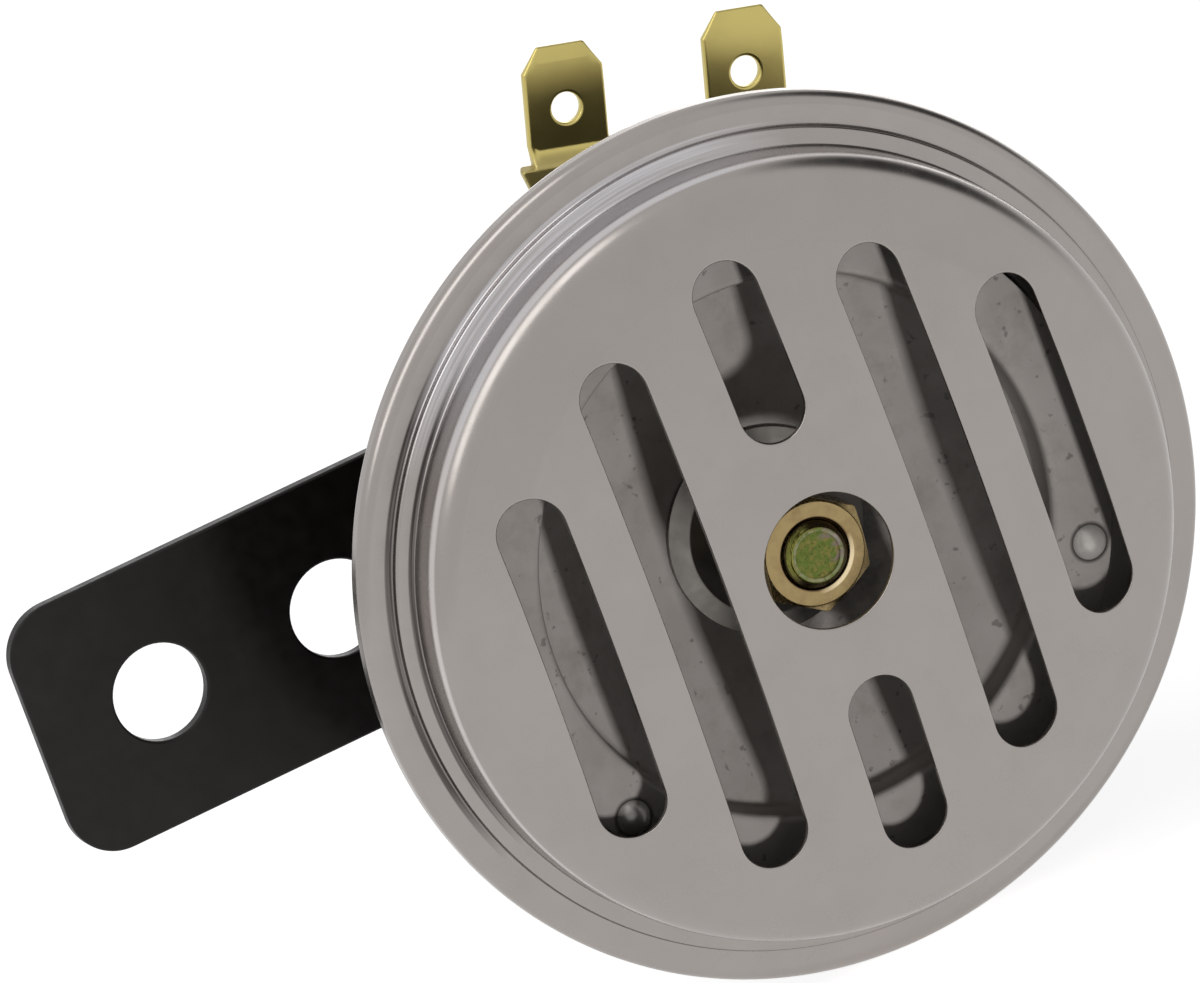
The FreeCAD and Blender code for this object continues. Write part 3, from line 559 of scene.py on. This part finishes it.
LOOKS = {
    "cover_metal": dict(colour=(0.325, 0.30, 0.283), roughness=0.25, stain=(0.30, 0.277, 0.26),
                        relief=0.001),
    "disc_metal": dict(colour=(0.245, 0.226, 0.212), roughness=0.5, stain=(0.17, 0.155, 0.142),
                       metallic=0.05, specular=0.3),
    "yellow_zinc": dict(colour=(0.315, 0.235, 0.11), roughness=0.26, stain=(0.19, 0.125, 0.06),
                        grain=0.2, blotch=1.1),
    "pale_zinc": dict(colour=(0.24, 0.225, 0.205), roughness=0.36, stain=(0.16, 0.15, 0.135),
                      grain=0.3, blotch=2.5, edge=0.1, metallic=0.9),
    "terminal_brass": dict(colour=(0.55, 0.46, 0.16), roughness=0.3, stain=(0.46, 0.38, 0.13),
                           grain=0.3, blotch=4.0, relief=0.0015),
    "black_paint": dict(colour=(0.009, 0.008, 0.007), roughness=0.42, stain=(0.014, 0.012, 0.011),
                        grain=0.5, blotch=3.0, metallic=0.0, specular=0.2),
    "black_zinc": dict(colour=(0.07, 0.066, 0.062), roughness=0.35, stain=(0.05, 0.048, 0.044),
                       grain=0.3, blotch=2.0),
    "gasket_fibre": dict(colour=(0.20, 0.17, 0.13), roughness=0.9, stain=(0.14, 0.11, 0.08),
                         metallic=0.0),
    "spring_steel": dict(colour=(0.36, 0.36, 0.37), roughness=0.35, stain=(0.30, 0.28, 0.26)),
    "soft_iron": dict(colour=(0.34, 0.33, 0.32), roughness=0.4, stain=(0.26, 0.22, 0.18)),
    "fibre": dict(colour=(0.20, 0.09, 0.04), roughness=0.6, stain=(0.13, 0.06, 0.03), grain=0.2,
                  blotch=1.5, edge=0.08, metallic=0.0),
    "bobbin_plastic": dict(colour=(0.03, 0.03, 0.03), roughness=0.5, stain=(0.04, 0.04, 0.04),
                           metallic=0.0),
    "copper_winding": dict(colour=(0.45, 0.16, 0.06), roughness=0.35, stain=(0.30, 0.09, 0.03)),
    "contact_bronze": dict(colour=(0.55, 0.34, 0.16), roughness=0.35, stain=(0.40, 0.24, 0.10)),
}
paints = {name: coat(name, **look) for name, look in LOOKS.items()}
rivet_metal = coat("rivet_metal", (0.37, 0.35, 0.33), 0.34, (0.30, 0.28, 0.26), grain=0.2, blotch=1.0,
                   metallic=0.3)


# Wear, dirt and painted light and shade, by place on the horn's axes in mm

WALL_BAND, WALL_DEPTHS = (29.0, 29.22), (-4.2, -1.3)
STEP_BAND, INNER_CORNER, OUTER_CORNER = (29.0, 30.9), (29.3, 29.6), (30.7, 31.05)
PAINTED_SHADE_ANGLE, PAINTED_HIGHLIGHT_ANGLE = 166, 108
SHADOW_PATCH_COLOUR, SHADOW_PATCH_REACH = (0.045, 0.040, 0.036), 8.2
RIVET_SHADE = (1.4, 1.65)
BEND_SHADE_BAND = (20.05, 20.15)
TIP_WORN, TIP_BROWN, TIP_GLINT = (1.8, 1.93), (2.0, 2.12), (2.08, 2.35)
MOUTH_BROWN, MOUTH_HIGHLIGHT, MOUTH_ANGLE = (2.6, 2.76), (2.74, 2.98), -48
BASE_END = (26.7, 27.3)
WASHER_FLAT = (6.15, 6.3)


def spun_step_painted_light(paint):
    """Spun lines on the cover's step, with a painted highlight at its top, painted shade in its corners
    at the left, and its wall painted lighter as painted sheen.
    """
    radius, turn, depth, left, top = paint.polar(PAINTED_SHADE_ANGLE, PAINTED_HIGHLIGHT_ANGLE)
    lines = paint.streaks(radius, turn)
    # Painted sheen: the wall is painted lighter, standing in for the light it catches
    wall = paint.times(paint.band(radius, *WALL_BAND, 0.05), paint.band(depth, *WALL_DEPTHS, 0.5))
    paint.tint(wall, (0.52, 0.49, 0.475))
    # Painted highlight: the step is lighter at the top, along the spun lines
    step_painted_highlight = paint.times(paint.band(radius, *STEP_BAND, 0.1), paint.spread(top, 0.78, 0.92),
                           paint.spread(lines, 0.38, 0.6, 0.35, 1.0))
    paint.tint(step_painted_highlight, (0.50, 0.485, 0.50))
    # Painted shade: the step's corners are darker at the left, along the spun lines
    corners = paint.maths("MAXIMUM", paint.band(radius, *INNER_CORNER, 0.1),
                          paint.band(radius, *OUTER_CORNER, 0.15))
    corner_painted_shade = paint.times(corners, paint.spread(left, 0.78, 0.9),
                            paint.spread(lines, 0.35, 0.6, 0.6, 1.0))
    paint.tint(corner_painted_shade, (0.055, 0.048, 0.046))


def painted_shadow_patch(paint):
    """Painted shadow with a ragged edge, right of the stud and from just above it downwards."""
    x, _, z = paint.axes()
    side = paint.times(paint.spread(x, -1.5, 0.5), paint.spread(z, 2.5, 4.5, 1.0, 0.0))
    ragged = paint.maths("ADD", paint.distance(x, z),
                         paint.spread(paint.noise(2.0), 0.3, 0.7, -1.0, 1.0))
    covered = paint.spread(ragged, SHADOW_PATCH_REACH, SHADOW_PATCH_REACH + 2.0, 0.85, 0.0)
    # Painted shadow: this area is darkened as if shade falls on it
    paint.tint(paint.times(side, covered), SHADOW_PATCH_COLOUR)


def grime_and_painted_shade(paint):
    """Dirt on the tone disc, specks and patches, and painted shade: dark rings round the rivets, a line
    in its bend and a painted shadow patch.
    """
    x, _, z = paint.axes()
    specks = paint.spread(paint.noise(0.9, 2.0), 0.66, 0.72, to_high=0.6)
    paint.tint(specks, (0.06, 0.05, 0.045))
    patches = paint.spread(paint.noise(3.5, 6.0, roughness=0.7), 0.5, 0.7, to_high=0.5)
    paint.tint(patches, (0.15, 0.132, 0.118))
    # Painted shade: dark rings round the rivets, where their heads shade the disc
    for rivet in disc_rivet_places():
        around = paint.distance(x, z, *rivet)
        paint.tint(paint.spread(around, *RIVET_SHADE, 0.9, 0.0), (0.02, 0.018, 0.016))
    # Painted shade: a dark line in the disc's bend
    paint.tint(paint.band(paint.distance(x, z), *BEND_SHADE_BAND, 0.15), (0.16, 0.147, 0.135))
    # The painted shadow patch right of the stud
    painted_shadow_patch(paint)


def passivated():
    """Yellow passivated thread end: green and gold mottles, a worn rim, a breath of violet and a
    painted highlight at its upper left.
    """
    paint = coat("passivated", (0.11, 0.145, 0.033), 0.3, (0.07, 0.10, 0.02), grain=0.12, blotch=0.35)
    gold = paint.spread(paint.noise(0.45, 5.0, roughness=0.7), 0.46, 0.62, to_high=0.85)
    paint.tint(gold, (0.20, 0.155, 0.05))
    dark = paint.spread(paint.noise(0.22, 3.0), 0.52, 0.66, to_high=0.6)
    paint.tint(dark, (0.06, 0.065, 0.02))
    radius, _, _, right, upper_left = paint.polar(10, 150)
    violet = paint.times(paint.spread(right, 0.3, 0.9), paint.spread(radius, 0.9, 1.5),
                         paint.spread(paint.noise(0.6, 3.0), 0.45, 0.6, to_high=0.8))
    paint.tint(violet, (0.19, 0.13, 0.15))
    worn = paint.times(paint.band(radius, *TIP_WORN, 0.07),
                       paint.spread(paint.noise(0.5, 3.0), 0.35, 0.65, 0.05, 0.45))
    paint.tint(worn, (0.36, 0.35, 0.28))
    paint.tint(paint.spread(radius, *TIP_BROWN), (0.10, 0.075, 0.035))
    # Painted highlight: a glint on the tip's rim at its upper left
    glint = paint.times(paint.band(radius, *TIP_GLINT, 0.06), paint.spread(upper_left, 0.4, 0.95))
    paint.tint(glint, (0.50, 0.52, 0.13))
    return paint


def mouth_painted_highlight(paint):
    """The top nut's mouth is painted brighter at its lower right as a painted highlight, and brown
    elsewhere.
    """
    radius, _, depth, lower_right = paint.polar(MOUTH_ANGLE)
    front = paint.spread(depth, LOCK_NUT_FRONT + 0.1, LOCK_NUT_FRONT + 0.3, 1.0, 0.0)
    paint.tint(paint.times(paint.band(radius, *MOUTH_BROWN, 0.08), front), (0.13, 0.085, 0.045))
    # Painted highlight at the mouth's lower right
    bright = paint.times(paint.band(radius, *MOUTH_HIGHLIGHT, 0.08), front,
                         paint.spread(lower_right, 0.55, 0.95, to_high=0.9))
    paint.tint(bright, (0.80, 0.66, 0.42))


def dull_base_painted_light(paint):
    """The terminals' bases are duller than their blades, and painted paler as painted light."""
    x, _, z = paint.axes()
    c, s = direction(TERMINAL_ANGLE)
    along = paint.maths("ADD", paint.times(x, s), paint.times(z, c))
    paint.link(paint.spread(along, *BASE_END, 0.35, 1.0), paint.shader.inputs["Metallic"])
    # Painted light: the base is painted paler, standing in for light falling on it
    paint.tint(paint.spread(along, *BASE_END, 1.0, 0.0), (0.72, 0.59, 0.21))
    paint.rough(paint.spread(paint.noise(3.0, 2.0), 0.3, 0.7, 0.29, 0.32))


def washer_painted_shade(paint):
    """The flat of the washer under the nuts is painted dark as painted shade, its chamfer bright."""
    x, y, z = paint.axes()
    flat = paint.times(paint.spread(paint.distance(x, z), *WASHER_FLAT, 1.0, 0.0),
                       paint.spread(y, 2.9, 2.95), 0.9)
    # Painted shade on the washer's flat, under the nuts
    paint.tint(flat, (0.035, 0.031, 0.028))
    # The painted shadow patch right of the stud
    painted_shadow_patch(paint)


spun_step_painted_light(paints["cover_metal"])
grime_and_painted_shade(paints["disc_metal"])
mouth_painted_highlight(paints["yellow_zinc"])
dull_base_painted_light(paints["terminal_brass"])
washer_painted_shade(paints["pale_zinc"])


# Front cover

def cover_y(radius):
    if radius < FACE_EDGE:
        return DOME_RADIUS - math.sqrt(DOME_RADIUS ** 2 - radius ** 2) - FACE_HEIGHT
    return cover_y(FACE_EDGE - 1e-6) + (radius - FACE_EDGE) * SHOULDER_SLOPE


def cover_face(x, z):
    """Front and back of the grille's face, with a soft crease where the shoulder starts."""
    radius = math.hypot(x, z)
    t = min(max((radius - FACE_EDGE + CREASE_SOFT) / (2 * CREASE_SOFT), 0.0), 1.0)
    slope = radius / DOME_RADIUS * (1 - t) + SHOULDER_SLOPE * t
    n = Vector((x / max(radius, 1e-6) * slope, -1.0, z / max(radius, 1e-6) * slope)).normalized()
    y = cover_y(radius)
    return (x, y, z), n, (x, y + COVER_SHEET, z), -n


def front_cover():
    skin = Skin()
    crease = [(r * c, r * s) for r in (FACE_EDGE - 0.25, FACE_EDGE, FACE_EDGE + 0.25)
              for c, s in (direction(2 * math.pi * k / 180) for k in range(180))]
    holes = [obround(x, low, high, SLOT_HALF) for x, low, high in SLOTS]
    holes.append(circle(0, 0, FACE_HOLE, 72))

    def rim(offset):
        # The same at every offset, since the spun wall joins it point for point
        return circle(0, 0, FACE_END, COVER_SEGMENTS)(0)

    skin.sheet(rim, holes, cover_face, EDGE_ROLL, 1.0, crease, cut=False)
    sheet = COVER_SHEET
    end_y = cover_y(FACE_END)
    corner_y = cover_y(FACE_EDGE) + (WALL_RADIUS - FACE_EDGE) * SHOULDER_SLOPE
    outside = [(FACE_END, end_y, 0), (WALL_RADIUS, corner_y, 2.4), (WALL_RADIUS, WALL_END, 0.3),
               (STEP_RADIUS, STEP_FACE, 0.3), (STEP_RADIUS, 0, 0.3), (RIM_RADIUS, 0, 1.05),
               (RIM_RADIUS, RIM_THICKNESS, 0.8), (CRIMP_RADIUS, RIM_THICKNESS, 0.1)]
    inside_back = [(CRIMP_RADIUS, RIM_THICKNESS - sheet, 0.1),
                   (RIM_RADIUS - sheet, RIM_THICKNESS - sheet, 0.3), (RIM_RADIUS - sheet, sheet, 0.3),
                   (STEP_RADIUS - sheet, sheet, 0.65), (STEP_RADIUS - sheet, STEP_FACE + sheet, 0.05),
                   (WALL_RADIUS - sheet, WALL_END + sheet, 0.8),
                   (WALL_RADIUS - sheet, corner_y + sheet - 0.1, 1.9), (FACE_END, end_y + sheet, 0)]
    skin.revolve(profile(outside + inside_back), COVER_SEGMENTS)
    skin.build("cover_skin", paints["cover_metal"], "housing", "front_cover")


# Tone disc and rivets

def tone_disc():
    skin = Skin()
    skin.revolve(sheet_profile(DISC_PATH, DISC_SHEET, 0.12), 192)
    skin.build("disc_skin", paints["disc_metal"], "vibrating_set", "tone_disc")


def domed(radius, height, y, steps=12):
    """Profile of a round head that stands forward of a face at depth y, ending on that face."""
    sphere = (radius ** 2 + height ** 2) / (2 * height)
    reach = math.asin(radius / sphere)
    out = []
    for k in range(steps + 1):
        s, c = math.sin(reach * k / steps), math.cos(reach * k / steps)
        out.append((sphere * s, y - (height - sphere * (1 - c)), s, -c))
    return out


def rivet_set(name, paint, body, node, places, front, back, shank, head, height, tail, tail_height):
    """Rivets with a domed head in front and a peened tail with a dimple behind."""
    skin = Skin()
    end = back + tail_height
    floor_y = end - tail_height * 0.35
    section = [(head, front, 0), (shank, front, 0), (shank, back, 0), (tail, back, 0.05),
               (tail, end, tail_height * 0.6), (tail * 0.45, end, tail_height * 0.3),
               (tail * 0.3, floor_y, 0.1), (0, floor_y, 0)]
    for x, z in places:
        skin.revolve(domed(head, height, front), RIVET_SEGMENTS, x, z)
        skin.revolve(profile(section, 0.06), RIVET_SEGMENTS, x, z)
    skin.build(name, paint, body, node)


# Nuts and threads

M3_NUT = dict(width=5.5, height=1.8, chamfer=2.65, bore=1.53)
M5_NUT = dict(width=8.0, height=4.0, chamfer=3.85, bore=2.53)
M6_NUT = dict(width=10.0, height=5.0, chamfer=4.8, bore=3.03)
NUT_CORNER, NUT_SOFT = 0.035, 0.008    # corner radius and edge softness, as shares of the width
CHAMFER_RISE = math.tan(math.radians(30))
THREAD_DEPTH, GROOVE_HALF, THREAD_ROWS = 0.45, 0.42, 10    # shares of the pitch, and rows in it


def hexagon(width, turn, steps=6, runs=8):
    """Points (x, z, normal) round a hexagon with rounded corners."""
    corner = NUT_CORNER * width
    centre = (width / 2 - corner) / math.cos(math.pi / 6)
    arcs = []
    for i in range(6):
        a = math.pi / 3 * i + turn
        cx, cz = centre * math.cos(a), centre * math.sin(a)
        turned = [direction(a - math.pi / 6 + math.pi / 3 * k / steps) for k in range(steps + 1)]
        arcs.append([(cx + corner * c, cz + corner * s, c, s) for c, s in turned])
    around = []
    for arc, following in zip(arcs, arcs[1:] + arcs[:1]):
        a, b = arc[-1], following[0]
        around += arc + [(a[0] + (b[0] - a[0]) * t, a[1] + (b[1] - a[1]) * t, a[2], a[3])
                         for t in (k / runs for k in range(1, runs))]
    return around


def nut(name, paint, body, node, front, width, height, chamfer, bore, turn=0.0, at=(0.0, 0.0),
        sink=0.5):
    """Hexagon nut: rounded corners, chamfered faces and countersunk bore."""
    skin = Skin()
    soft = NUT_SOFT * width
    mouth = bore + sink
    rings = []
    for side, base in ((1, front), (-1, front + height)):
        columns = []
        for px, pz, nx, nz in hexagon(width, turn):
            reach = math.hypot(px, pz)
            ex, ez = px / reach, pz / reach
            sunk, slant = (-0.7, -0.7 * side), (0.5, -0.87 * side)
            section = [(bore, sink + soft, (-1, 0)), (bore + soft, sink - soft, sunk),
                       (mouth - soft, soft, sunk), (mouth + soft, 0, (0, -side)),
                       (chamfer - soft, 0, (0, -side)), (chamfer + soft, soft * CHAMFER_RISE, slant),
                       (reach - soft, (reach - soft - chamfer) * CHAMFER_RISE, slant)]
            column = [((at[0] + ex * r, base + side * rise, at[1] + ez * r), (ex * nr, ny, ez * nr))
                      for r, rise, (nr, ny) in section]
            rise = (reach - chamfer) * CHAMFER_RISE + soft
            column.append(((at[0] + ex * reach, base + side * rise, at[1] + ez * reach), (nx, 0, nz)))
            columns.append(column)
        rings.append([[skin.add(*corner) for corner in ring] for ring in zip(*columns)])
    whole = rings[0] + rings[1][::-1]
    skin.bridge(whole + [whole[0]])
    skin.build(name, paint, body, node)


def threaded(skin, radius, pitch, root, end, at=(0.0, 0.0), chamfer=0.44, segments=48):
    """A thread as a helical surface with a chamfered tip at its end, closed by a shallow dish."""
    x, z = at
    depth = THREAD_DEPTH * pitch
    way = math.copysign(1, end - root)
    tip = radius - chamfer
    rows = round(abs(end - root) / pitch * THREAD_ROWS)
    step = 0.02

    def reach(k, y):
        place_in_pitch = (y * way / pitch - k / segments) % 1.0
        cut = depth * max(0.0, 1 - abs(place_in_pitch - 0.5) / GROOVE_HALF)
        return min(radius - cut, radius - chamfer + abs(end - y) + step)

    rings = []
    for i in range(rows + 1):
        y = root + (end - root) * i / rows
        ring = []
        for k in range(segments):
            c, s = direction(2 * math.pi * k / segments)
            r = reach(k, y)
            lean = (reach(k, y + step) - reach(k, y - step)) / (2 * step)
            ring.append(skin.add((x + r * c, y, z + r * s), (c, -lean, s)))
        rings.append(ring)
    skin.bridge(rings)
    dish = [(tip + step, end, 0.6, way * 0.8), (tip - 0.08, end, 0, way), (tip - 0.22, end, 0, way),
            (tip - 0.34, end - way * 0.06, 0.35, way * 0.93), (tip - 0.6, end - way * 0.1, 0.1, way),
            (0.0, end - way * 0.1, 0, way)]
    skin.revolve(dish, segments, x, z)


def armature():
    stud = Skin()
    threaded(stud, STUD_RADIUS, STUD_PITCH, STUD_ROOT, STUD_TIP)
    stud.build("stud_skin", passivated(), "vibrating_set", "armature")
    plunger = Skin()
    plunger.revolve(profile([
        (STUD_RADIUS, STUD_ROOT, 0), (STUD_RADIUS, COLLAR_FRONT, 0), (COLLAR_RADIUS, COLLAR_FRONT, 0.1),
        (COLLAR_RADIUS, COLLAR_BACK, 0.1), (PLUNGER_RADIUS, COLLAR_BACK, 0),
        (PLUNGER_RADIUS, PLUNGER_BACK, 0.2), (0, PLUNGER_BACK, 0)]), 96)
    plunger.build("plunger_skin", paints["soft_iron"], "vibrating_set", "armature")


# Terminals

def joggle(along):
    """How far the sheet has stepped back at a distance along the terminal, and its slope."""
    run = JOGGLE + 2 * JOGGLE_SOFT
    t = min(max((along - BLADE_START + JOGGLE + JOGGLE_SOFT) / run, 0.0), 1.0)
    return JOGGLE_OFFSET * t * t * (3 - 2 * t), JOGGLE_OFFSET * 6 * t * (1 - t) / run


def terminal_place(across, along):
    """X and Z of a place given across and along the terminals' direction."""
    c, s = direction(TERMINAL_ANGLE)
    return across * c + along * s, along * c - across * s


def terminal(side, name):
    def surface(across, along):
        back, slope = joggle(along)
        lean = math.hypot(1, slope)
        bevel = max(0.0, along - BEVEL_START) * BEVEL_SLOPE
        # Short of its bevel the front face is crowned
        run = min(max(0.0, along - CROWN_START), CROWN_RUN)
        crown = run * CROWN_SLOPE / CROWN_RUN
        x, z = terminal_place(side * TERMINAL_ACROSS + across, along + side * TERMINAL_STAGGER)
        found = []
        for way, shift, rise in ((-1, bevel + run * crown / 2, crown),
                                 (1, TERMINAL_SHEET * lean - bevel, 0.0)):
            tip = BEVEL_SLOPE if along > BEVEL_START else rise
            n = Vector((0, way / lean, tip or -slope * way / lean)).normalized()
            nx, nz = terminal_place(n.x, n.z)
            found += [(x, BASE_Y + back + shift, z), Vector((nx, n.y, nz))]
        return found

    half = [(BASE_RADIUS, RIVET_ALONG, 0.3), (3.6, 24.8, 1.0), (4.35, SHOULDER_ALONG, 0.26),
            (BLADE_HALF, SHOULDER_ALONG, 0.12), (BLADE_HALF, BLADE_TIP - TIP_ALONG, 0.26),
            (BLADE_HALF - TIP_ACROSS, BLADE_TIP, 0.26)]
    round_end = [on_circle(BASE_RADIUS, angle) for angle in range(-162, 0, 18)]
    shape = [(e, RIVET_ALONG + d, 0.3) for e, d in round_end]
    shape += half + [(-e, d, radius) for e, d, radius in reversed(half)]
    # Rows of points on both sides of the bevel's start and over the joggle
    rows = [(e * 0.35, BEVEL_START + d) for e in range(-8, 9) for d in (-0.04, 0.04)]
    rows += [(e * 0.4, 26.2 + 0.12 * k) for e in range(-11, 12) for k in range(14)]
    holes = [circle(0, BLADE_HOLE_ALONG, BLADE_HOLE, 32), circle(0, RIVET_ALONG, RIVET_HOLE, 24)]
    skin = Skin()
    skin.sheet(outline(shape), holes, surface, 0.24, 0.6, rows)
    skin.build(name + "_skin", paints["terminal_brass"], "housing", name)


# Bracket, core and adjusting screw

def bracket():
    def surface(x, z):
        front, back = HOUSING_BACK, HOUSING_BACK + BRACKET_SHEET
        return (x, front, z), Vector((0, -1, 0)), (x, back, z), Vector((0, 1, 0))

    half = BRACKET_HALF
    round_end = [(*on_circle(half, angle), 0.5) for angle in range(-84, 90, 12)]
    shape = [(BRACKET_END, -half, 4.0), (0, -half, 0.5)] + round_end
    shape += [(0, half, 0.5), (BRACKET_END, half, 4.0)]
    holes = [circle(x, 0, BRACKET_HOLE, 56) for x in BRACKET_HOLES]
    holes.append(circle(0, 0, BRACKET_STUD_HOLE, 40))
    skin = Skin()
    skin.sheet(outline(shape, 0.25), holes, surface, 0.22, 1.6)
    skin.build("bracket_skin", paints["black_paint"], "housing", "mounting_bracket")


def core():
    skin = Skin()
    threaded(skin, REAR_STUD_RADIUS, REAR_STUD_PITCH, REAR_STUD_ROOT, REAR_STUD_TIP)
    skin.revolve(profile([(0, CORE_FRONT, 0), (CORE_RADIUS, CORE_FRONT, 0), (CORE_RADIUS, CORE_BACK, 0),
                          (REAR_STUD_RADIUS, CORE_BACK, 0), (REAR_STUD_RADIUS, REAR_STUD_ROOT, 0)]), 96)
    skin.build("core_skin", paints["soft_iron"], "housing", "pole_core")


def adjusting():
    skin = Skin()
    threaded(skin, 1.5, 0.5, 11.6, 20.4, ADJUSTING_PLACE, chamfer=0.2, segments=36)
    skin.build("adjusting_screw_skin", paints["yellow_zinc"], "housing", "adjusting_screw")
    nut("adjusting_nut_skin", paints["yellow_zinc"], "housing", "adjusting_nut", 16.2,
        at=ADJUSTING_PLACE, **M3_NUT)


front_cover()
tone_disc()
rivet_set("disc_rivets_skin", rivet_metal, "vibrating_set", "tone_disc_rivets", disc_rivet_places(),
          front=-2.6, back=-1.1, shank=0.7, head=1.3, height=0.75, tail=1.3, tail_height=0.5)
nut("lock_nut_skin", paints["yellow_zinc"], "vibrating_set", "lock_nut", LOCK_NUT_FRONT,
    turn=math.radians(25), sink=0.22, **M5_NUT)
nut("clamp_nut_skin", paints["yellow_zinc"], "vibrating_set", "clamp_nut", CLAMP_NUT_FRONT, **M5_NUT)
armature()
terminal(-1, "terminal_left")
terminal(1, "terminal_right")
rivet_set("terminal_rivets_skin", paints["terminal_brass"], "housing", "terminal_rivets",
          [terminal_place(side * TERMINAL_ACROSS, RIVET_ALONG + side * TERMINAL_STAGGER)
           for side in (-1, 1)],
          front=14.4, back=18.0, shank=1.4, head=2.3, height=0.8, tail=2.3, tail_height=0.8)
bracket()
core()
adjusting()
nut("rear_nut_skin", paints["black_zinc"], "housing", "rear_nut", REAR_NUT_FRONT, **M6_NUT)

# The CAD solids that stay get their materials
for node, piece in frame["nodes"].items():
    for each in piece.material_slots:
        each.material = paints[SLOT_OF[node]].material


# Camera at the photograph's angle

IMAGE_WIDTH = 1200
FOCAL_PIXELS = 16920.0
SENSOR = 36.0
CAMERA_PLACE = (-340.22, -1117.60, 389.98)
CAMERA_RIGHT = Vector((0.86984, -0.36759, -0.32901))
CAMERA_DOWN = Vector((-0.41423, -0.18201, -0.89179))


def camera():
    data = bpy.data.cameras.new("camera")
    data.sensor_width = SENSOR
    data.lens = FOCAL_PIXELS / IMAGE_WIDTH * SENSOR
    data.clip_start, data.clip_end = 0.05, 50
    eye = bpy.data.objects.new("camera", data)
    bpy.context.scene.collection.objects.link(eye)
    up = -CAMERA_DOWN
    turn = Matrix((CAMERA_RIGHT, up, CAMERA_RIGHT.cross(up))).transposed()
    eye.matrix_world = Matrix.Translation(place(*CAMERA_PLACE)) @ turn.to_4x4()
    bpy.context.scene.camera = eye


# Floor and light

FLOOR_HALF, FLOOR_GAP = 3.0, 0.0002
FLOOR_GLOW = 0.84
FLOOR_COLOUR = (0.8, 0.8, 0.8, 1)
AMBIENT = 0.12
FLAG_DIRECTION, FLAG_LEVEL = (0.86, 0.04, 0.50), 0.06
FLAG_ANGLE, FLAG_SOFT = 24.0, 6.0


def floor_material():
    """Matt white, which also glows where the camera or a mirror reflection sees it."""
    material = bpy.data.materials.new("floor")
    material.use_nodes = True
    nodes = Nodes(material.node_tree)
    nodes.tree.nodes.clear()
    rays = nodes.node("ShaderNodeLightPath")
    seen = nodes.maths("MAXIMUM", rays.outputs["Is Camera Ray"], rays.outputs["Is Glossy Ray"])
    glow = nodes.node("ShaderNodeEmission")
    nodes.link(nodes.times(seen, FLOOR_GLOW), glow.inputs["Strength"])
    matt = nodes.node("ShaderNodeBsdfDiffuse", Color=FLOOR_COLOUR)
    both = nodes.node("ShaderNodeAddShader")
    nodes.link(glow.outputs[0], both.inputs[0])
    nodes.link(matt.outputs[0], both.inputs[1])
    out = nodes.node("ShaderNodeOutputMaterial")
    nodes.link(both.outputs[0], out.inputs["Surface"])
    return material


def floor():
    mesh = bpy.data.meshes.new("floor")
    corners = [(x * FLOOR_HALF, y * FLOOR_HALF) for x, y in ((-1, -1), (1, -1), (1, 1), (-1, 1))]
    mesh.from_pydata([(x, y, cad_low.z - FLOOR_GAP) for x, y in corners], [], [(0, 1, 2, 3)])
    ground = bpy.data.objects.new("floor", mesh)
    bpy.context.scene.collection.objects.link(ground)
    mesh.materials.append(floor_material())
    # The front lamp stands lower than the floor, as it would beside a table
    ground.visible_shadow = False


def softbox(name, spot, size, power, along=(1, 0, 0), seen=True):
    """A rectangular lamp aimed at the horn, with its length as near as can be to a direction."""
    data = bpy.data.lights.new(name, "AREA")
    data.shape = "RECTANGLE"
    data.size, data.size_y = size
    data.energy = power
    lamp = bpy.data.objects.new(name, data)
    lamp.visible_glossy = seen
    bpy.context.scene.collection.objects.link(lamp)
    start = place(*spot)
    away = (start - place(0, 0, 0)).normalized()
    up = away.cross(Vector(along)).normalized()
    turn = Matrix((up.cross(away), up, away)).transposed()
    lamp.matrix_world = Matrix.Translation(start) @ turn.to_4x4()


def surroundings():
    """White to the camera and in mirror reflections, apart from a dark flag, and dim as a light."""
    scene = bpy.context.scene
    scene.view_settings.view_transform = "Standard"
    world = bpy.data.worlds.new("studio")
    scene.world = world
    world.use_nodes = True
    world.cycles.sampling_method = "NONE"
    nodes = Nodes(world.node_tree)
    backdrop = nodes.tree.nodes["Background"]
    backdrop.inputs["Color"].default_value = (1, 1, 1, 1)
    rays = nodes.node("ShaderNodeLightPath")
    # A dark flag to the right of the camera shows in the metal as a black line
    way = nodes.node("ShaderNodeTexCoord")
    near = nodes.node("ShaderNodeVectorMath", operation="DOT_PRODUCT")
    near.inputs[1].default_value = Vector(FLAG_DIRECTION).normalized()
    nodes.link(way.outputs["Generated"], near.inputs[0])
    outer, inner = (math.cos(math.radians(FLAG_ANGLE + soft)) for soft in (FLAG_SOFT, -FLAG_SOFT))
    flag = nodes.spread(near.outputs["Value"], outer, inner, 1.0, FLAG_LEVEL)
    level = nodes.node("ShaderNodeMix")
    level.inputs["A"].default_value = AMBIENT
    nodes.link(rays.outputs["Is Glossy Ray"], level.inputs["Factor"])
    nodes.link(flag, level.inputs["B"])
    strength = nodes.maths("MAXIMUM", rays.outputs["Is Camera Ray"], level.outputs["Result"])
    nodes.link(strength, backdrop.inputs["Strength"])


camera()
floor()
softbox("front", (-45, -900, -216), (0.09, 0.09), 7.4, seen=False)
softbox("window", (-560, -170, 950), (1.3, 0.45), 3.6, along=(-0.88, 0, -0.47))
softbox("back", (420, 850, 60), (0.8, 0.5), 2.0)
surroundings()
